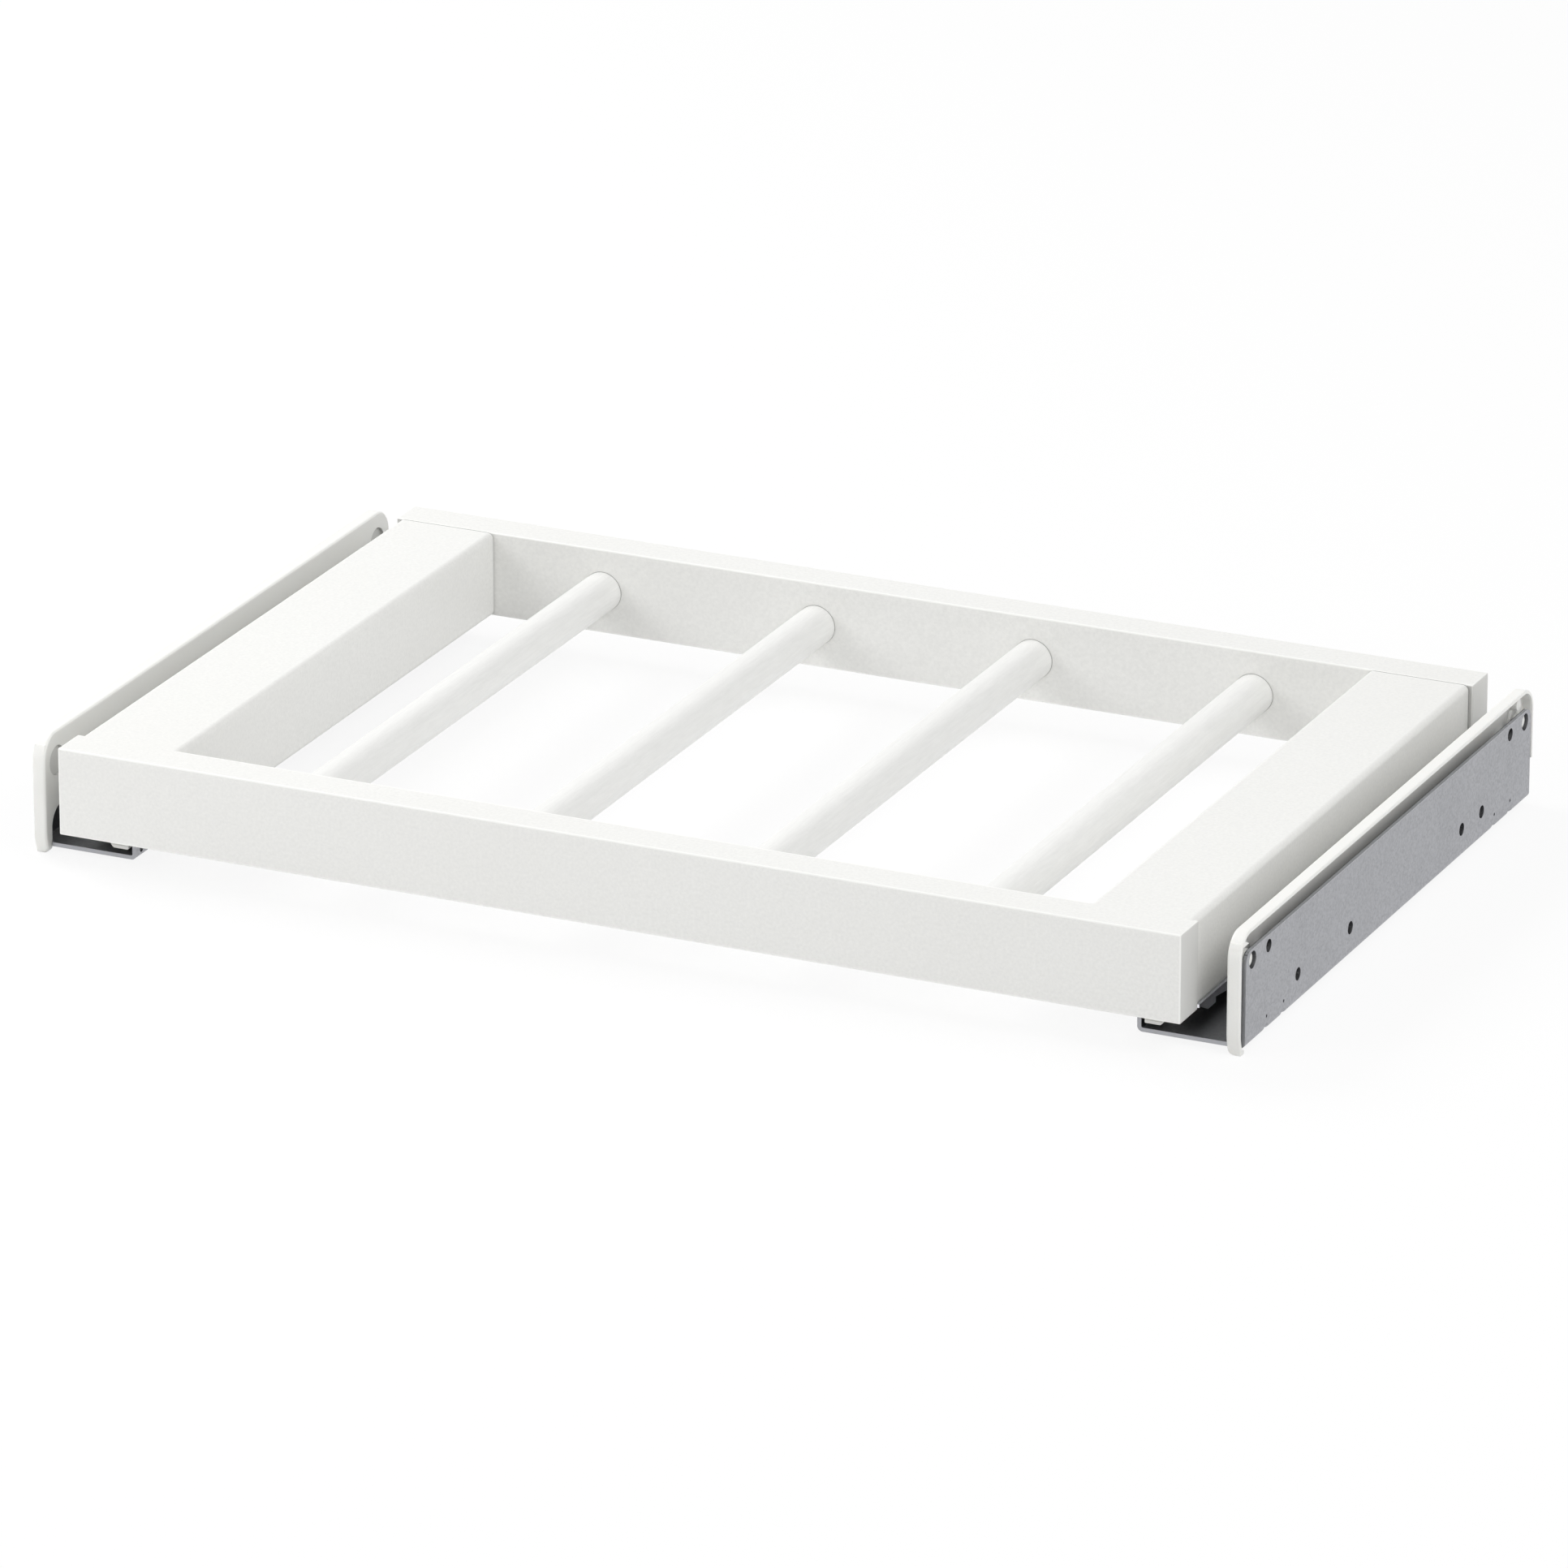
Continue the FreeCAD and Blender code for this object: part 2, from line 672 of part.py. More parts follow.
def bracket():
    """Folded steel bracket: wall plate, floor and turned-up lip, outer face at its own x = 0."""
    body = new_body("cabinet_bracket_right")
    sheet_inside = "-Sizes.bracket_sheet"
    lip_outside = "-Sizes.bracket_floor"
    lip_inside = "-(Sizes.bracket_floor - Sizes.bracket_sheet)"
    section = new_sketch(body, "XZ_Plane")
    outline(section, [
        ("0", "0"),
        ("0", "Sizes.bracket_height"),
        (sheet_inside, "Sizes.bracket_height"),
        (sheet_inside, "Sizes.bracket_sheet"),
        (lip_inside, "Sizes.bracket_sheet"),
        (lip_inside, "Sizes.bracket_lip"),
        (lip_outside, "Sizes.bracket_lip"),
        (lip_outside, "0"),
    ])
    pad(body, section, "Sizes.bracket_length", reverse=True)
    fillet(body, "Sizes.bracket_corner", any_of(
        edge_at("x", y=0, z=size("bracket_height")),
        edge_at("x", y=size("bracket_length"), z=size("bracket_height"))))
    fillet(body, "Sizes.lip_corner", any_of(
        edge_at("x", y=0, z=size("bracket_lip")),
        edge_at("x", y=size("bracket_length"), z=size("bracket_lip"))))
    fillet(body, "Sizes.bend_outside", any_of(
        edge_at("y", x=0, z=0),
        edge_at("y", x=-size("bracket_floor"), z=0)))
    fillet(body, "Sizes.bend_inside", any_of(
        edge_at("y", x=-size("bracket_sheet"), z=size("bracket_sheet")),
        edge_at("y", x=size("bracket_sheet") - size("bracket_floor"), z=size("bracket_sheet"))))
    for along in gusset_places():
        stiffen_bend(body, along)
    drill_bracket(body)
    place(body, "Sizes.mount_width / 2", BRACKET_FRONT, "Sizes.bracket_base")
    keep_pair(body, "cabinet_bracket")


def stiffen_bend(body, along):
    """Gusset pressed into the lower bend: a rib inside and a round notch outside."""
    rib = new_sketch(body, "XZ_Plane", f"-({along} - Sizes.gusset_rib / 2)")
    inside = "Sizes.bracket_sheet"
    outline(rib, [
        (f"-{inside} / 2", f"{inside} / 2"),
        (f"-{inside} / 2", f"{inside} + Sizes.gusset_leg"),
        (f"-{inside}", f"{inside} + Sizes.gusset_leg"),
        (f"-({inside} + Sizes.gusset_leg)", inside),
        (f"-({inside} + Sizes.gusset_leg)", f"{inside} / 2"),
    ])
    pad(body, rib, "Sizes.gusset_rib", reverse=True)
    notch = body.newObject("PartDesign::SubtractiveCylinder", "bend_notch")
    notch.setExpression("Radius", "Sizes.gusset_diameter / 2")
    notch.setExpression("Height", "2 * Sizes.gusset_reach")
    across_bend = FreeCAD.Rotation(FreeCAD.Vector(0, 1, 0), 45)
    notch.Placement = FreeCAD.Placement(FreeCAD.Vector(), across_bend)
    place(notch, "(Sizes.gusset_out - Sizes.gusset_reach) * cos(45)", along,
          "-(Sizes.gusset_out + Sizes.gusset_reach) * cos(45)")
    doc.recompute()


def drill_bracket(body):
    """Screw, stud, tip, lip and rivet holes, and the notch for the foot of the cover."""
    wall = new_sketch(body, "YZ_Plane")
    far = "Sizes.bracket_length"
    for along in ("Sizes.stud_inset", f"({far} - Sizes.stud_inset)"):
        circle(wall, along, "Sizes.upper_row", "Sizes.stud_hole")
    for along in ("Sizes.upper_inset", f"({far} - Sizes.upper_inset)"):
        circle(wall, along, "Sizes.upper_row", "Sizes.wall_hole")
    for along in ("Sizes.lower_inset", "Sizes.middle_hole_front", "Sizes.middle_hole_back",
                  f"({far} - Sizes.lower_inset)"):
        circle(wall, along, "Sizes.lower_row", "Sizes.wall_hole")
    pocket(body, wall, "2 * Sizes.bracket_sheet")
    tips = new_sketch(body, "YZ_Plane")
    for along in gusset_places():
        circle(tips, along, "Sizes.gusset_tip_up", "Sizes.gusset_tip")
    pocket(body, tips, "Sizes.gusset_tip_depth")
    lip = new_sketch(body, "YZ_Plane", "-(Sizes.bracket_floor - 2 * Sizes.bracket_sheet)")
    circle(lip, "Sizes.lip_hole_along", "Sizes.lip_hole_up", "Sizes.lip_hole")
    pocket(body, lip, "3 * Sizes.bracket_sheet")
    notch = new_sketch(body, "XY_Plane", "2 * Sizes.bracket_sheet")
    rectangle(notch, "-Sizes.foot_notch_inner", "-Sizes.foot_notch_depth",
              "-Sizes.foot_notch_outer", "Sizes.foot_notch_depth")
    pocket(body, notch, "3 * Sizes.bracket_sheet")
    rivets = new_sketch(body, "XY_Plane", "2 * Sizes.bracket_sheet")
    for along in rivet_places():
        circle(rivets, "Sizes.slide_centre - Sizes.mount_width / 2",
               f"{FIXED_FRONT} - {BRACKET_FRONT} + {along}", RIVET_HOLE)
    pocket(body, rivets, "3 * Sizes.bracket_sheet")


def cover():
    """Clip-on cover: a thin panel with a rim that wraps the wall plate, open towards the wall."""
    body = new_body("bracket_cover_right")
    shell = new_sketch(body, "YZ_Plane")
    outline(shell, [
        ("Sizes.foot_lean", "0"),
        ("0", "Sizes.foot_height"),
        ("0", "Sizes.cover_height"),
        (COVER_LENGTH, "Sizes.cover_height"),
        (COVER_LENGTH, "Sizes.cover_skirt"),
        ("Sizes.cover_strip", "Sizes.cover_skirt"),
        ("Sizes.cover_strip", "0"),
    ])
    pad(body, shell, "Sizes.cover_width")
    length = size("overall_depth") - size("cover_setback")
    height = size("cover_height")
    fillet(body, "Sizes.cover_corner", any_of(
        edge_at("x", y=0, z=height), edge_at("x", y=length, z=height)))
    fillet(body, "Sizes.cover_strip_arc", edge_at("x", y=size("cover_strip"), z=size("cover_skirt")))
    fillet(body, "Sizes.foot_arc", edge_at("x", y=0, z=size("foot_height")))
    fillet(body, "Sizes.foot_round", edge_at("y", x=0, z=0))
    fillet(body, "Sizes.cover_soft_edge", lambda edge: is_rim_edge(edge, 0, length))
    chamfer(body, "Sizes.cover_rim_bevel", lambda edge: is_rim_edge(edge, size("cover_width"), length))
    hollow_cover(body, length, height)
    add_cover_fittings(body)
    place(body, "Sizes.cover_inside", f"{FRONT} + Sizes.cover_setback", "0")
    keep_pair(body, "bracket_cover")


def is_rim_edge(edge, level, length):
    """Edges at one X level that run up the front, over the top and down the back of the rim."""
    box = edge.BoundBox
    in_plane = is_near(box.XMin, level) and is_near(box.XMax, level)
    on_top = is_near(box.ZMax, size("cover_height"))
    at_back = is_near(box.YMin, length)
    at_front = box.YMax < size("foot_lean") + 0.02
    return in_plane and (on_top or at_back or at_front)


def hollow_cover(body, length, height):
    """Cut the space inside the rim, leaving the panel, the walls and the hook under the plate."""
    hollow = new_body("cover_hollow")
    section = new_sketch(hollow, "YZ_Plane", "Sizes.cover_panel")
    inner_back = f"({COVER_LENGTH} - Sizes.cover_end_wall)"
    inner_top = "(Sizes.cover_height - Sizes.cover_top_wall)"
    lean = "Sizes.foot_lean * (1 - Sizes.hook_front / Sizes.foot_height)"
    outline(section, [
        (f"(Sizes.cover_end_wall + {lean})", "Sizes.hook_front"),
        ("Sizes.cover_end_wall", "Sizes.foot_height"),
        ("Sizes.cover_end_wall", inner_top),
        (inner_back, inner_top),
        (inner_back, "Sizes.hook_back"),
        ("Sizes.cover_strip", "Sizes.hook_back"),
    ])
    pad(hollow, section, "Sizes.cover_width")
    wall = size("cover_end_wall")
    top = height - size("cover_top_wall")
    fillet(hollow, "(Sizes.cover_corner - Sizes.cover_end_wall)", any_of(
        edge_at("x", y=wall, z=top), edge_at("x", y=length - wall, z=top)))
    cut = body.newObject("PartDesign::Boolean", "hollow_cut")
    cut.Type = "Cut"
    cut.setObjects([hollow])
    doc.recompute()


def add_cover_fittings(body):
    """Dishes with their backing, studs, corner tab and back boss of the cover."""
    studs = (STUD_FRONT, STUD_BACK)
    backing = new_sketch(body, "YZ_Plane", "Sizes.cover_panel / 2")
    for along in studs:
        circle(backing, along, STUD_ROW, "Sizes.stud_backing")
    pad(body, backing, "(Sizes.cover_panel / 2 + Sizes.stud_backing_length)")
    dishes = new_sketch(body, "YZ_Plane")
    for along in studs:
        circle(dishes, along, STUD_ROW, "Sizes.stud_dish")
    pocket(body, dishes, "Sizes.stud_dish_depth", reverse=True)
    for diameter, reach in (("Sizes.stud_boss", "Sizes.stud_boss_length"),
                            ("Sizes.stud_pin", "Sizes.stud_pin_length")):
        stud = new_sketch(body, "YZ_Plane", "Sizes.cover_panel")
        for along in studs:
            circle(stud, along, STUD_ROW, diameter)
        pad(body, stud, reach)
    pin_end = size("cover_panel") + size("stud_pin_length")
    chamfer(body, "Sizes.stud_lead", lambda edge: (
        isinstance(edge.Curve, Part.Circle) and is_near(edge.CenterOfMass.x, pin_end)))
    tab = new_sketch(body, "YZ_Plane", "Sizes.cover_panel / 2")
    outline(tab, [
        ("Sizes.cover_end_wall / 2", "Sizes.tab_height - Sizes.tab_thick / 2"),
        ("(Sizes.tab_reach - 2 * Sizes.tab_thick)", "Sizes.tab_height - Sizes.tab_thick / 2"),
        ("Sizes.tab_reach", "Sizes.tab_height - Sizes.tab_thick / 2"),
        ("(Sizes.tab_reach - 2 * Sizes.tab_thick)", "Sizes.tab_height + Sizes.tab_thick / 2"),
        ("Sizes.cover_end_wall", "Sizes.tab_height + Sizes.tab_thick / 2"),
    ])
    to_rim = "Sizes.cover_width - Sizes.cover_panel / 2"
    pad(body, tab, f"({to_rim} - Sizes.cover_rim_bevel)")
    boss = new_sketch(body, "YZ_Plane", "Sizes.cover_panel / 2")
    circle(boss, "Sizes.boss_along", "Sizes.boss_height", "Sizes.boss_diameter")
    pad(body, boss, f"({to_rim} - Sizes.boss_sink)")


# ---------------------------------------------------------------------------------------------
# Telescopic slides
# ---------------------------------------------------------------------------------------------

def channel(label, half_width, height, length, opens_down=False):
    """Rolled U channel along Y with its web on z = 0."""
    body = new_body(label)
    way = "-" if opens_down else ""
    inner = f"({half_width} - Sizes.slide_sheet)"
    section = new_sketch(body, "XZ_Plane")
    outline(section, [
        (f"-{half_width}", "0"),
        (half_width, "0"),
        (half_width, f"{way}{height}"),
        (inner, f"{way}{height}"),
        (inner, f"{way}Sizes.slide_sheet"),
        (f"-{inner}", f"{way}Sizes.slide_sheet"),
        (f"-{inner}", f"{way}{height}"),
        (f"-{half_width}", f"{way}{height}"),
    ])
    pad(body, section, length, reverse=True)
    return body


def roll_races(body, row, level):
    """A pair of grooves for a row of balls on each side, along the whole channel."""
    race = new_sketch(body, "XZ_Plane")
    for sign in ("-", ""):
        circle(race, f"{sign}({row})", level, "Sizes.race_diameter")
    pocket(body, race)


def soften_bends(body, half_width, outside, inside=None, down=False):
    """Outside and inside radii of a channel's two bends."""
    fillet(body, outside, any_of(
        edge_at("y", x=half_width, z=0), edge_at("y", x=-half_width, z=0)))
    if inside is not None:
        inner = half_width - size("slide_sheet")
        level = -size("slide_sheet") if down else size("slide_sheet")
        fillet(body, inside, any_of(
            edge_at("y", x=inner, z=level), edge_at("y", x=-inner, z=level)))


def fixed_profile():
    """Outer channel, riveted on the floor of the bracket."""
    body = channel("fixed_profile_right", "Sizes.fixed_half_width", "Sizes.fixed_height",
                   "Sizes.fixed_length")
    soften_bends(body, size("fixed_half_width"), "Sizes.bend_large", "Sizes.bend_small")
    roll_races(body, OUTER_ROW, "Sizes.outer_row_up")
    holes = new_sketch(body, "XY_Plane", "2 * Sizes.slide_sheet")
    for along in rivet_places():
        circle(holes, "0", along, RIVET_HOLE)
    pocket(body, holes, "3 * Sizes.slide_sheet")
    place(body, "Sizes.slide_centre", FIXED_FRONT, FLOOR_TOP)
    keep_pair(body, "fixed_profile")


def middle_profile():
    """Intermediate channel, between the fixed profile and the drawer profile."""
    body = channel("middle_profile_right", "Sizes.middle_half_width", "Sizes.middle_height",
                   "Sizes.middle_length")
    soften_bends(body, size("middle_half_width"), "Sizes.bend_small")
    roll_races(body, OUTER_ROW, f"{OUTER_ROW_LEVEL} - Sizes.middle_level")
    roll_races(body, INNER_ROW, f"{INNER_ROW_LEVEL} - Sizes.middle_level")
    place(body, "Sizes.slide_centre", f"{MIDDLE_BACK} - Sizes.middle_length", "Sizes.middle_level")
    keep_pair(body, "middle_profile")


def drawer_profile():
    """Inner channel, open downwards, screwed up under the runner plate."""
    body = channel("drawer_profile_right", "Sizes.drawer_half_width", "Sizes.drawer_height",
                   "Sizes.drawer_length", opens_down=True)
    soften_bends(body, size("drawer_half_width"), "Sizes.bend_large", "Sizes.bend_small", down=True)
    roll_races(body, INNER_ROW, "-Sizes.inner_row_down")
    holes = new_sketch(body, "XY_Plane", "Sizes.slide_sheet")
    for along in profile_screw_places():
        circle(holes, "0", along, PROFILE_SCREW_HOLE)
    pocket(body, holes, "3 * Sizes.slide_sheet")
    place(body, "Sizes.slide_centre", DRAWER_FRONT, RUNNER_LEVEL)
    keep_pair(body, "drawer_profile")


def front_clip():
    """Plastic clip at the front end of the drawer profile, with a plug that fills the channel."""
    body = new_body("front_clip_right")
    length = f"({DRAWER_FRONT} - {CLIP_FRONT})"
    height = f"({RUNNER_LEVEL} - Sizes.clip_level)"
    block = new_sketch(body, "XZ_Plane")
    outline(block, [
        ("-Sizes.clip_inner", "0"),
        ("-Sizes.clip_foot", "0"),
        ("-(Sizes.clip_foot - Sizes.clip_slope)", "Sizes.clip_slope"),
        ("Sizes.drawer_half_width", "Sizes.clip_slope"),
        ("Sizes.drawer_half_width", height),
        ("-Sizes.clip_inner", height),
    ])
    pad(body, block, length, reverse=True)
    fillet(body, "Sizes.clip_round", edge_at("y", x=-size("clip_inner"), z=0))
    groove = new_sketch(body, "XZ_Plane")
    rectangle(groove, "-2 * Sizes.clip_inner", "Sizes.clip_groove_up", "Sizes.drawer_half_width",
              "Sizes.clip_groove_up + Sizes.clip_groove")
    pocket(body, groove, "Sizes.clip_groove")
    plug = new_sketch(body, "XZ_Plane", f"-{length}")
    plug_half = "(Sizes.drawer_half_width - Sizes.slide_sheet - Sizes.bend_small)"
    plug_top = f"({height} - Sizes.slide_sheet - Sizes.seat_gap)"
    rectangle(plug, f"-{plug_half}", f"{plug_top} - Sizes.clip_plug_height", plug_half, plug_top)
    pad(body, plug, "Sizes.clip_plug_length", reverse=True)
    place(body, "Sizes.slide_centre", CLIP_FRONT, "Sizes.clip_level")
    keep_pair(body, "front_clip")


def runner_plate():
    """Flat strip between side rail and drawer profile, with a wing folded down outside it."""
    body = new_body("runner_plate_right")
    plate = new_sketch(body, "XY_Plane")
    rectangle(plate, "Sizes.runner_inner", "0", "Sizes.runner_outer", "Sizes.runner_length")
    pad(body, plate, "Sizes.runner_sheet")
    wing = new_sketch(body, "YZ_Plane", "Sizes.runner_outer - Sizes.wing_sheet")
    outline(wing, [
        ("Sizes.wing_start", "Sizes.runner_sheet"),
        ("Sizes.wing_start", "0"),
        ("Sizes.wing_foot", "-Sizes.wing_drop"),
        ("Sizes.wing_foot_end", "-Sizes.wing_drop"),
        ("Sizes.wing_foot_end", "-Sizes.wing_neck"),
        ("Sizes.wing_ramp_end", "-Sizes.wing_drop"),
        ("Sizes.wing_end", "-Sizes.wing_drop"),
        ("Sizes.wing_end", "Sizes.runner_sheet"),
    ])
    pad(body, wing, "Sizes.wing_sheet")
    holes = new_sketch(body, "XY_Plane", "2 * Sizes.runner_sheet")
    for along in profile_screw_places():
        circle(holes, "Sizes.slide_centre", f"{DRAWER_FRONT} - {RUNNER_FRONT} + {along}",
               PROFILE_SCREW_HOLE)
    pocket(body, holes, "3 * Sizes.runner_sheet")
    place(body, "0", RUNNER_FRONT, RUNNER_LEVEL)
    keep_pair(body, "runner_plate")


def rear_buffer():
    """Soft block at the back of the fixed profile that both inner channels meet."""
    body = new_body("rear_buffer_right")
    section = new_sketch(body, "XZ_Plane")
    wide = "(Sizes.fixed_half_width - Sizes.slide_sheet - Sizes.seat_gap)"
    wide_now = size("fixed_half_width") - size("slide_sheet") - size("seat_gap")
    narrow = "Sizes.buffer_half_width"
    shoulder = "(Sizes.fixed_height - Sizes.slide_sheet)"
    outline(section, [
        (f"-{wide}", "0"),
        (wide, "0"),
        (wide, shoulder),
        (narrow, shoulder),
        (narrow, "Sizes.buffer_height"),
        (f"-{narrow}", "Sizes.buffer_height"),
        (f"-{narrow}", shoulder),
        (f"-{wide}", shoulder),
    ])
    pad(body, section, "Sizes.buffer_thick", reverse=True)
    soften_bends(body, wide_now, "Sizes.bend_small")
    place(body, "Sizes.slide_centre", f"{MIDDLE_BACK} + Sizes.buffer_gap",
          f"{FLOOR_TOP} + Sizes.slide_sheet")
    keep_pair(body, "rear_buffer")


def ball_cage(stem, half_width, height, base_level, row_level):
    """Thin U-shaped strip with a round window for each ball in both sides."""
    body = new_body(f"{stem}_right")
    inner = f"({half_width} - Sizes.cage_side)"
    section = new_sketch(body, "XZ_Plane")
    outline(section, [
        (f"-{half_width}", "0"),
        (half_width, "0"),
        (half_width, height),
        (inner, height),
        (inner, "Sizes.cage_sheet"),
        (f"-{inner}", "Sizes.cage_sheet"),
        (f"-{inner}", height),
        (f"-{half_width}", height),
    ])
    pad(body, section, "Sizes.cage_length", reverse=True)
    windows = new_sketch(body, "YZ_Plane", f"{half_width} + Sizes.cage_side")
    for along in ball_places():
        circle(windows, f"Sizes.cage_length / 2 + {along}", f"{row_level} - {base_level}",
               "Sizes.race_diameter")
    pocket(body, windows)
    place(body, "Sizes.slide_centre", f"{CAGE_MIDDLE} - Sizes.cage_length / 2", base_level)
    keep_pair(body, stem)


def ball_places():
    middle = (BALLS_PER_ROW - 1) / 2
    return [f"({step} - {middle}) * Sizes.ball_pitch" for step in range(BALLS_PER_ROW)]


def ball_rows(stem, row, level):
    """Two rows of steel balls, one on each side of the slide."""
    balls = []
    for sign in ("-", ""):
        for along in ball_places():
            ball = doc.addObject("Part::Sphere", f"{stem}_ball")
            ball.setExpression("Radius", "Sizes.ball_diameter / 2")
            place(ball, f"Sizes.slide_centre + {sign}({row})", f"{CAGE_MIDDLE} + {along}", level)
            balls.append(ball)
    rows = doc.addObject("Part::Compound", f"{stem}_right")
    rows.Links = balls
    keep_pair(rows, stem)


# ---------------------------------------------------------------------------------------------
# Assembly
# ---------------------------------------------------------------------------------------------

def build():
    front_rail()
    back_rail()
    for side_name, side in SIDES.items():
        side_rail(side_name, side)
    hanging_rods()
    front_dowels()
    frame_screws()
    runner_plate()
    drawer_profile()
    front_clip()
    runner_screws()
    bracket()
    cover()
    fixed_profile()
    floor_rivets()
    rear_buffer()
    middle_profile()
    ball_cage("outer_ball_cage", "Sizes.outer_cage_half", "Sizes.outer_cage_height",
              f"({FLOOR_TOP} + Sizes.outer_cage_up)", OUTER_ROW_LEVEL)
    ball_rows("outer_balls", OUTER_ROW, OUTER_ROW_LEVEL)
    ball_cage("inner_ball_cage", "Sizes.inner_cage_half", "Sizes.inner_cage_height",
              f"({FLOOR_TOP} + Sizes.inner_cage_up)", INNER_ROW_LEVEL)
    ball_rows("inner_balls", INNER_ROW, INNER_ROW_LEVEL)
    doc.recompute()


def check():
    """Stop if any object failed or any kept piece isn't a valid solid shape."""
    for item in doc.Objects:
        if "Invalid" in item.State or "Error" in item.State:
            raise RuntimeError(f"{item.Name} failed: {item.State}")
    for piece in pieces:
        shape = piece.Shape
        if shape.isNull() or not shape.isValid() or not shape.Solids:
            raise RuntimeError(f"{piece.Label} has no valid solid")


def write():
    os.makedirs("parts", exist_ok=True)
    for piece in pieces:
        piece.Shape.exportStep(os.path.join("parts", f"{piece.Label}.step"))
        box = piece.Shape.BoundBox
        ranges = (("x", box.XMin, box.XMax), ("y", box.YMin, box.YMax), ("z", box.ZMin, box.ZMax))
        spans = ", ".join(f"{axis} {low:.2f} {high:.2f}" for axis, low, high in ranges)
        print(f"{piece.Label}: {len(piece.Shape.Solids)} solid, {piece.Shape.Volume:.0f} mm3, {spans}")


build()
check()
write()
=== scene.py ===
"""Finishes, lamps and camera for a pull-out trouser rack on ball-bearing slides."""

import functools
import math

import bpy
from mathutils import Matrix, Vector


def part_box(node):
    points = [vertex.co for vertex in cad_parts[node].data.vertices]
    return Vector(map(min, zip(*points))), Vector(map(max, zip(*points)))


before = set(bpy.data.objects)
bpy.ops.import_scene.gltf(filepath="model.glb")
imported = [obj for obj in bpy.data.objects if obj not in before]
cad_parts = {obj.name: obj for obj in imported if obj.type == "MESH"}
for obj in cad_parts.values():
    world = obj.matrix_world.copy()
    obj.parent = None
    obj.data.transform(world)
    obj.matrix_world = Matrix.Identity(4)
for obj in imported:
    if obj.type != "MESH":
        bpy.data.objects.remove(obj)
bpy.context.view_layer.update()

bl_info = {
    "name": "Pull-out trouser rack",
    "version": (1, 0, 0),
    "blender": (4, 5, 0),
    "location": "3D View > Sidebar > Trouser rack",
    "description": "Gives the trouser rack its lacquer, coating, plastic and plating, and its studio",
    "category": "Object",
}

HANDS = ("left", "right")
END_RAILS = ("front_rail", "back_rail")
SIDE_RAILS = ("side_rail_left", "side_rail_right")
RODS = tuple(f"hanging_rod_{number}" for number in (1, 2, 3, 4))


# ---------------------------------------------------------------- places
#
# All in metres. The left side mirrors the right one, so X is measured from the middle outwards and the
# right-hand pieces stand for both. A room is a low and a high limit along each of X, Y and Z.

EDGE = 0.0001  # width over which one tone of a finish passes into the next
BELOW_ALL = -0.01  # a level under the whole rack
ABOVE_ALL = 0.06  # and one over it

# Wall brackets. Painted shade darkens the channel between lip and wall plate and laps over their upper
# edges.
# The sides of the wall holes, also darkened with painted shade, are inside the sheet, clear of its outline.
BRACKET_LOW, BRACKET_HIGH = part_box("cabinet_bracket_right")
BRACKET_SHEET = 0.0015
LIP_INSIDE = BRACKET_LOW.x + BRACKET_SHEET
WALL_INSIDE = BRACKET_HIGH.x - BRACKET_SHEET
PAINTED_SHADE_OVER_LIP, PAINTED_SHADE_OVER_WALL = 0.0005, 0.0003
PAINTED_SHADE_FROM_FRONT, PAINTED_SHADE_FROM_BACK = 0.0003, 0.0002
BORES_FROM_FRONT, BORES_FROM_BACK = 0.0012, 0.0013
BORES_FROM_BOTTOM, BORES_FROM_TOP = 0.00355, 0.0008
BRACKET_SPAN = (BRACKET_LOW.y + EDGE / 2, BRACKET_HIGH.y - EDGE / 2)
CHANNEL = (
    (LIP_INSIDE - PAINTED_SHADE_OVER_LIP, WALL_INSIDE + PAINTED_SHADE_OVER_WALL),
    (BRACKET_LOW.y + PAINTED_SHADE_FROM_FRONT, BRACKET_HIGH.y - PAINTED_SHADE_FROM_BACK),
    (BRACKET_LOW.z + BRACKET_SHEET - EDGE / 2, ABOVE_ALL),
)
WALL_BORES = (
    (WALL_INSIDE + EDGE, BRACKET_HIGH.x - EDGE),
    (BRACKET_LOW.y + BORES_FROM_FRONT, BRACKET_HIGH.y - BORES_FROM_BACK),
    (BRACKET_LOW.z + BORES_FROM_BOTTOM, BRACKET_HIGH.z - BORES_FROM_TOP),
)

# Bracket covers: the face towards the rack, with a round dish over each stud, both darkened with painted
# shade
COVER_LOW, COVER_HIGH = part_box("bracket_cover_right")
COVER_PANEL = 0.0013
FACE_LEAD = 0.0007
COVER_FACE = (COVER_LOW.x - FACE_LEAD, COVER_LOW.x + 2 * EDGE)
STUD_INSET = 0.0057  # from the bracket's ends
STUD_DROP = 0.004  # from its upper edge
STUD_LEVEL = BRACKET_HIGH.z - STUD_DROP
DISH_REACH = 0.0065
DISH_DEPTH = 0.0016
STUD_DISHES = tuple(
    (
        (COVER_LOW.x + EDGE, COVER_LOW.x + DISH_DEPTH),
        (stud - DISH_REACH, stud + DISH_REACH),
        (STUD_LEVEL - DISH_REACH, STUD_LEVEL + DISH_REACH),
    )
    for stud in (BRACKET_LOW.y + STUD_INSET, BRACKET_HIGH.y - STUD_INSET)
)
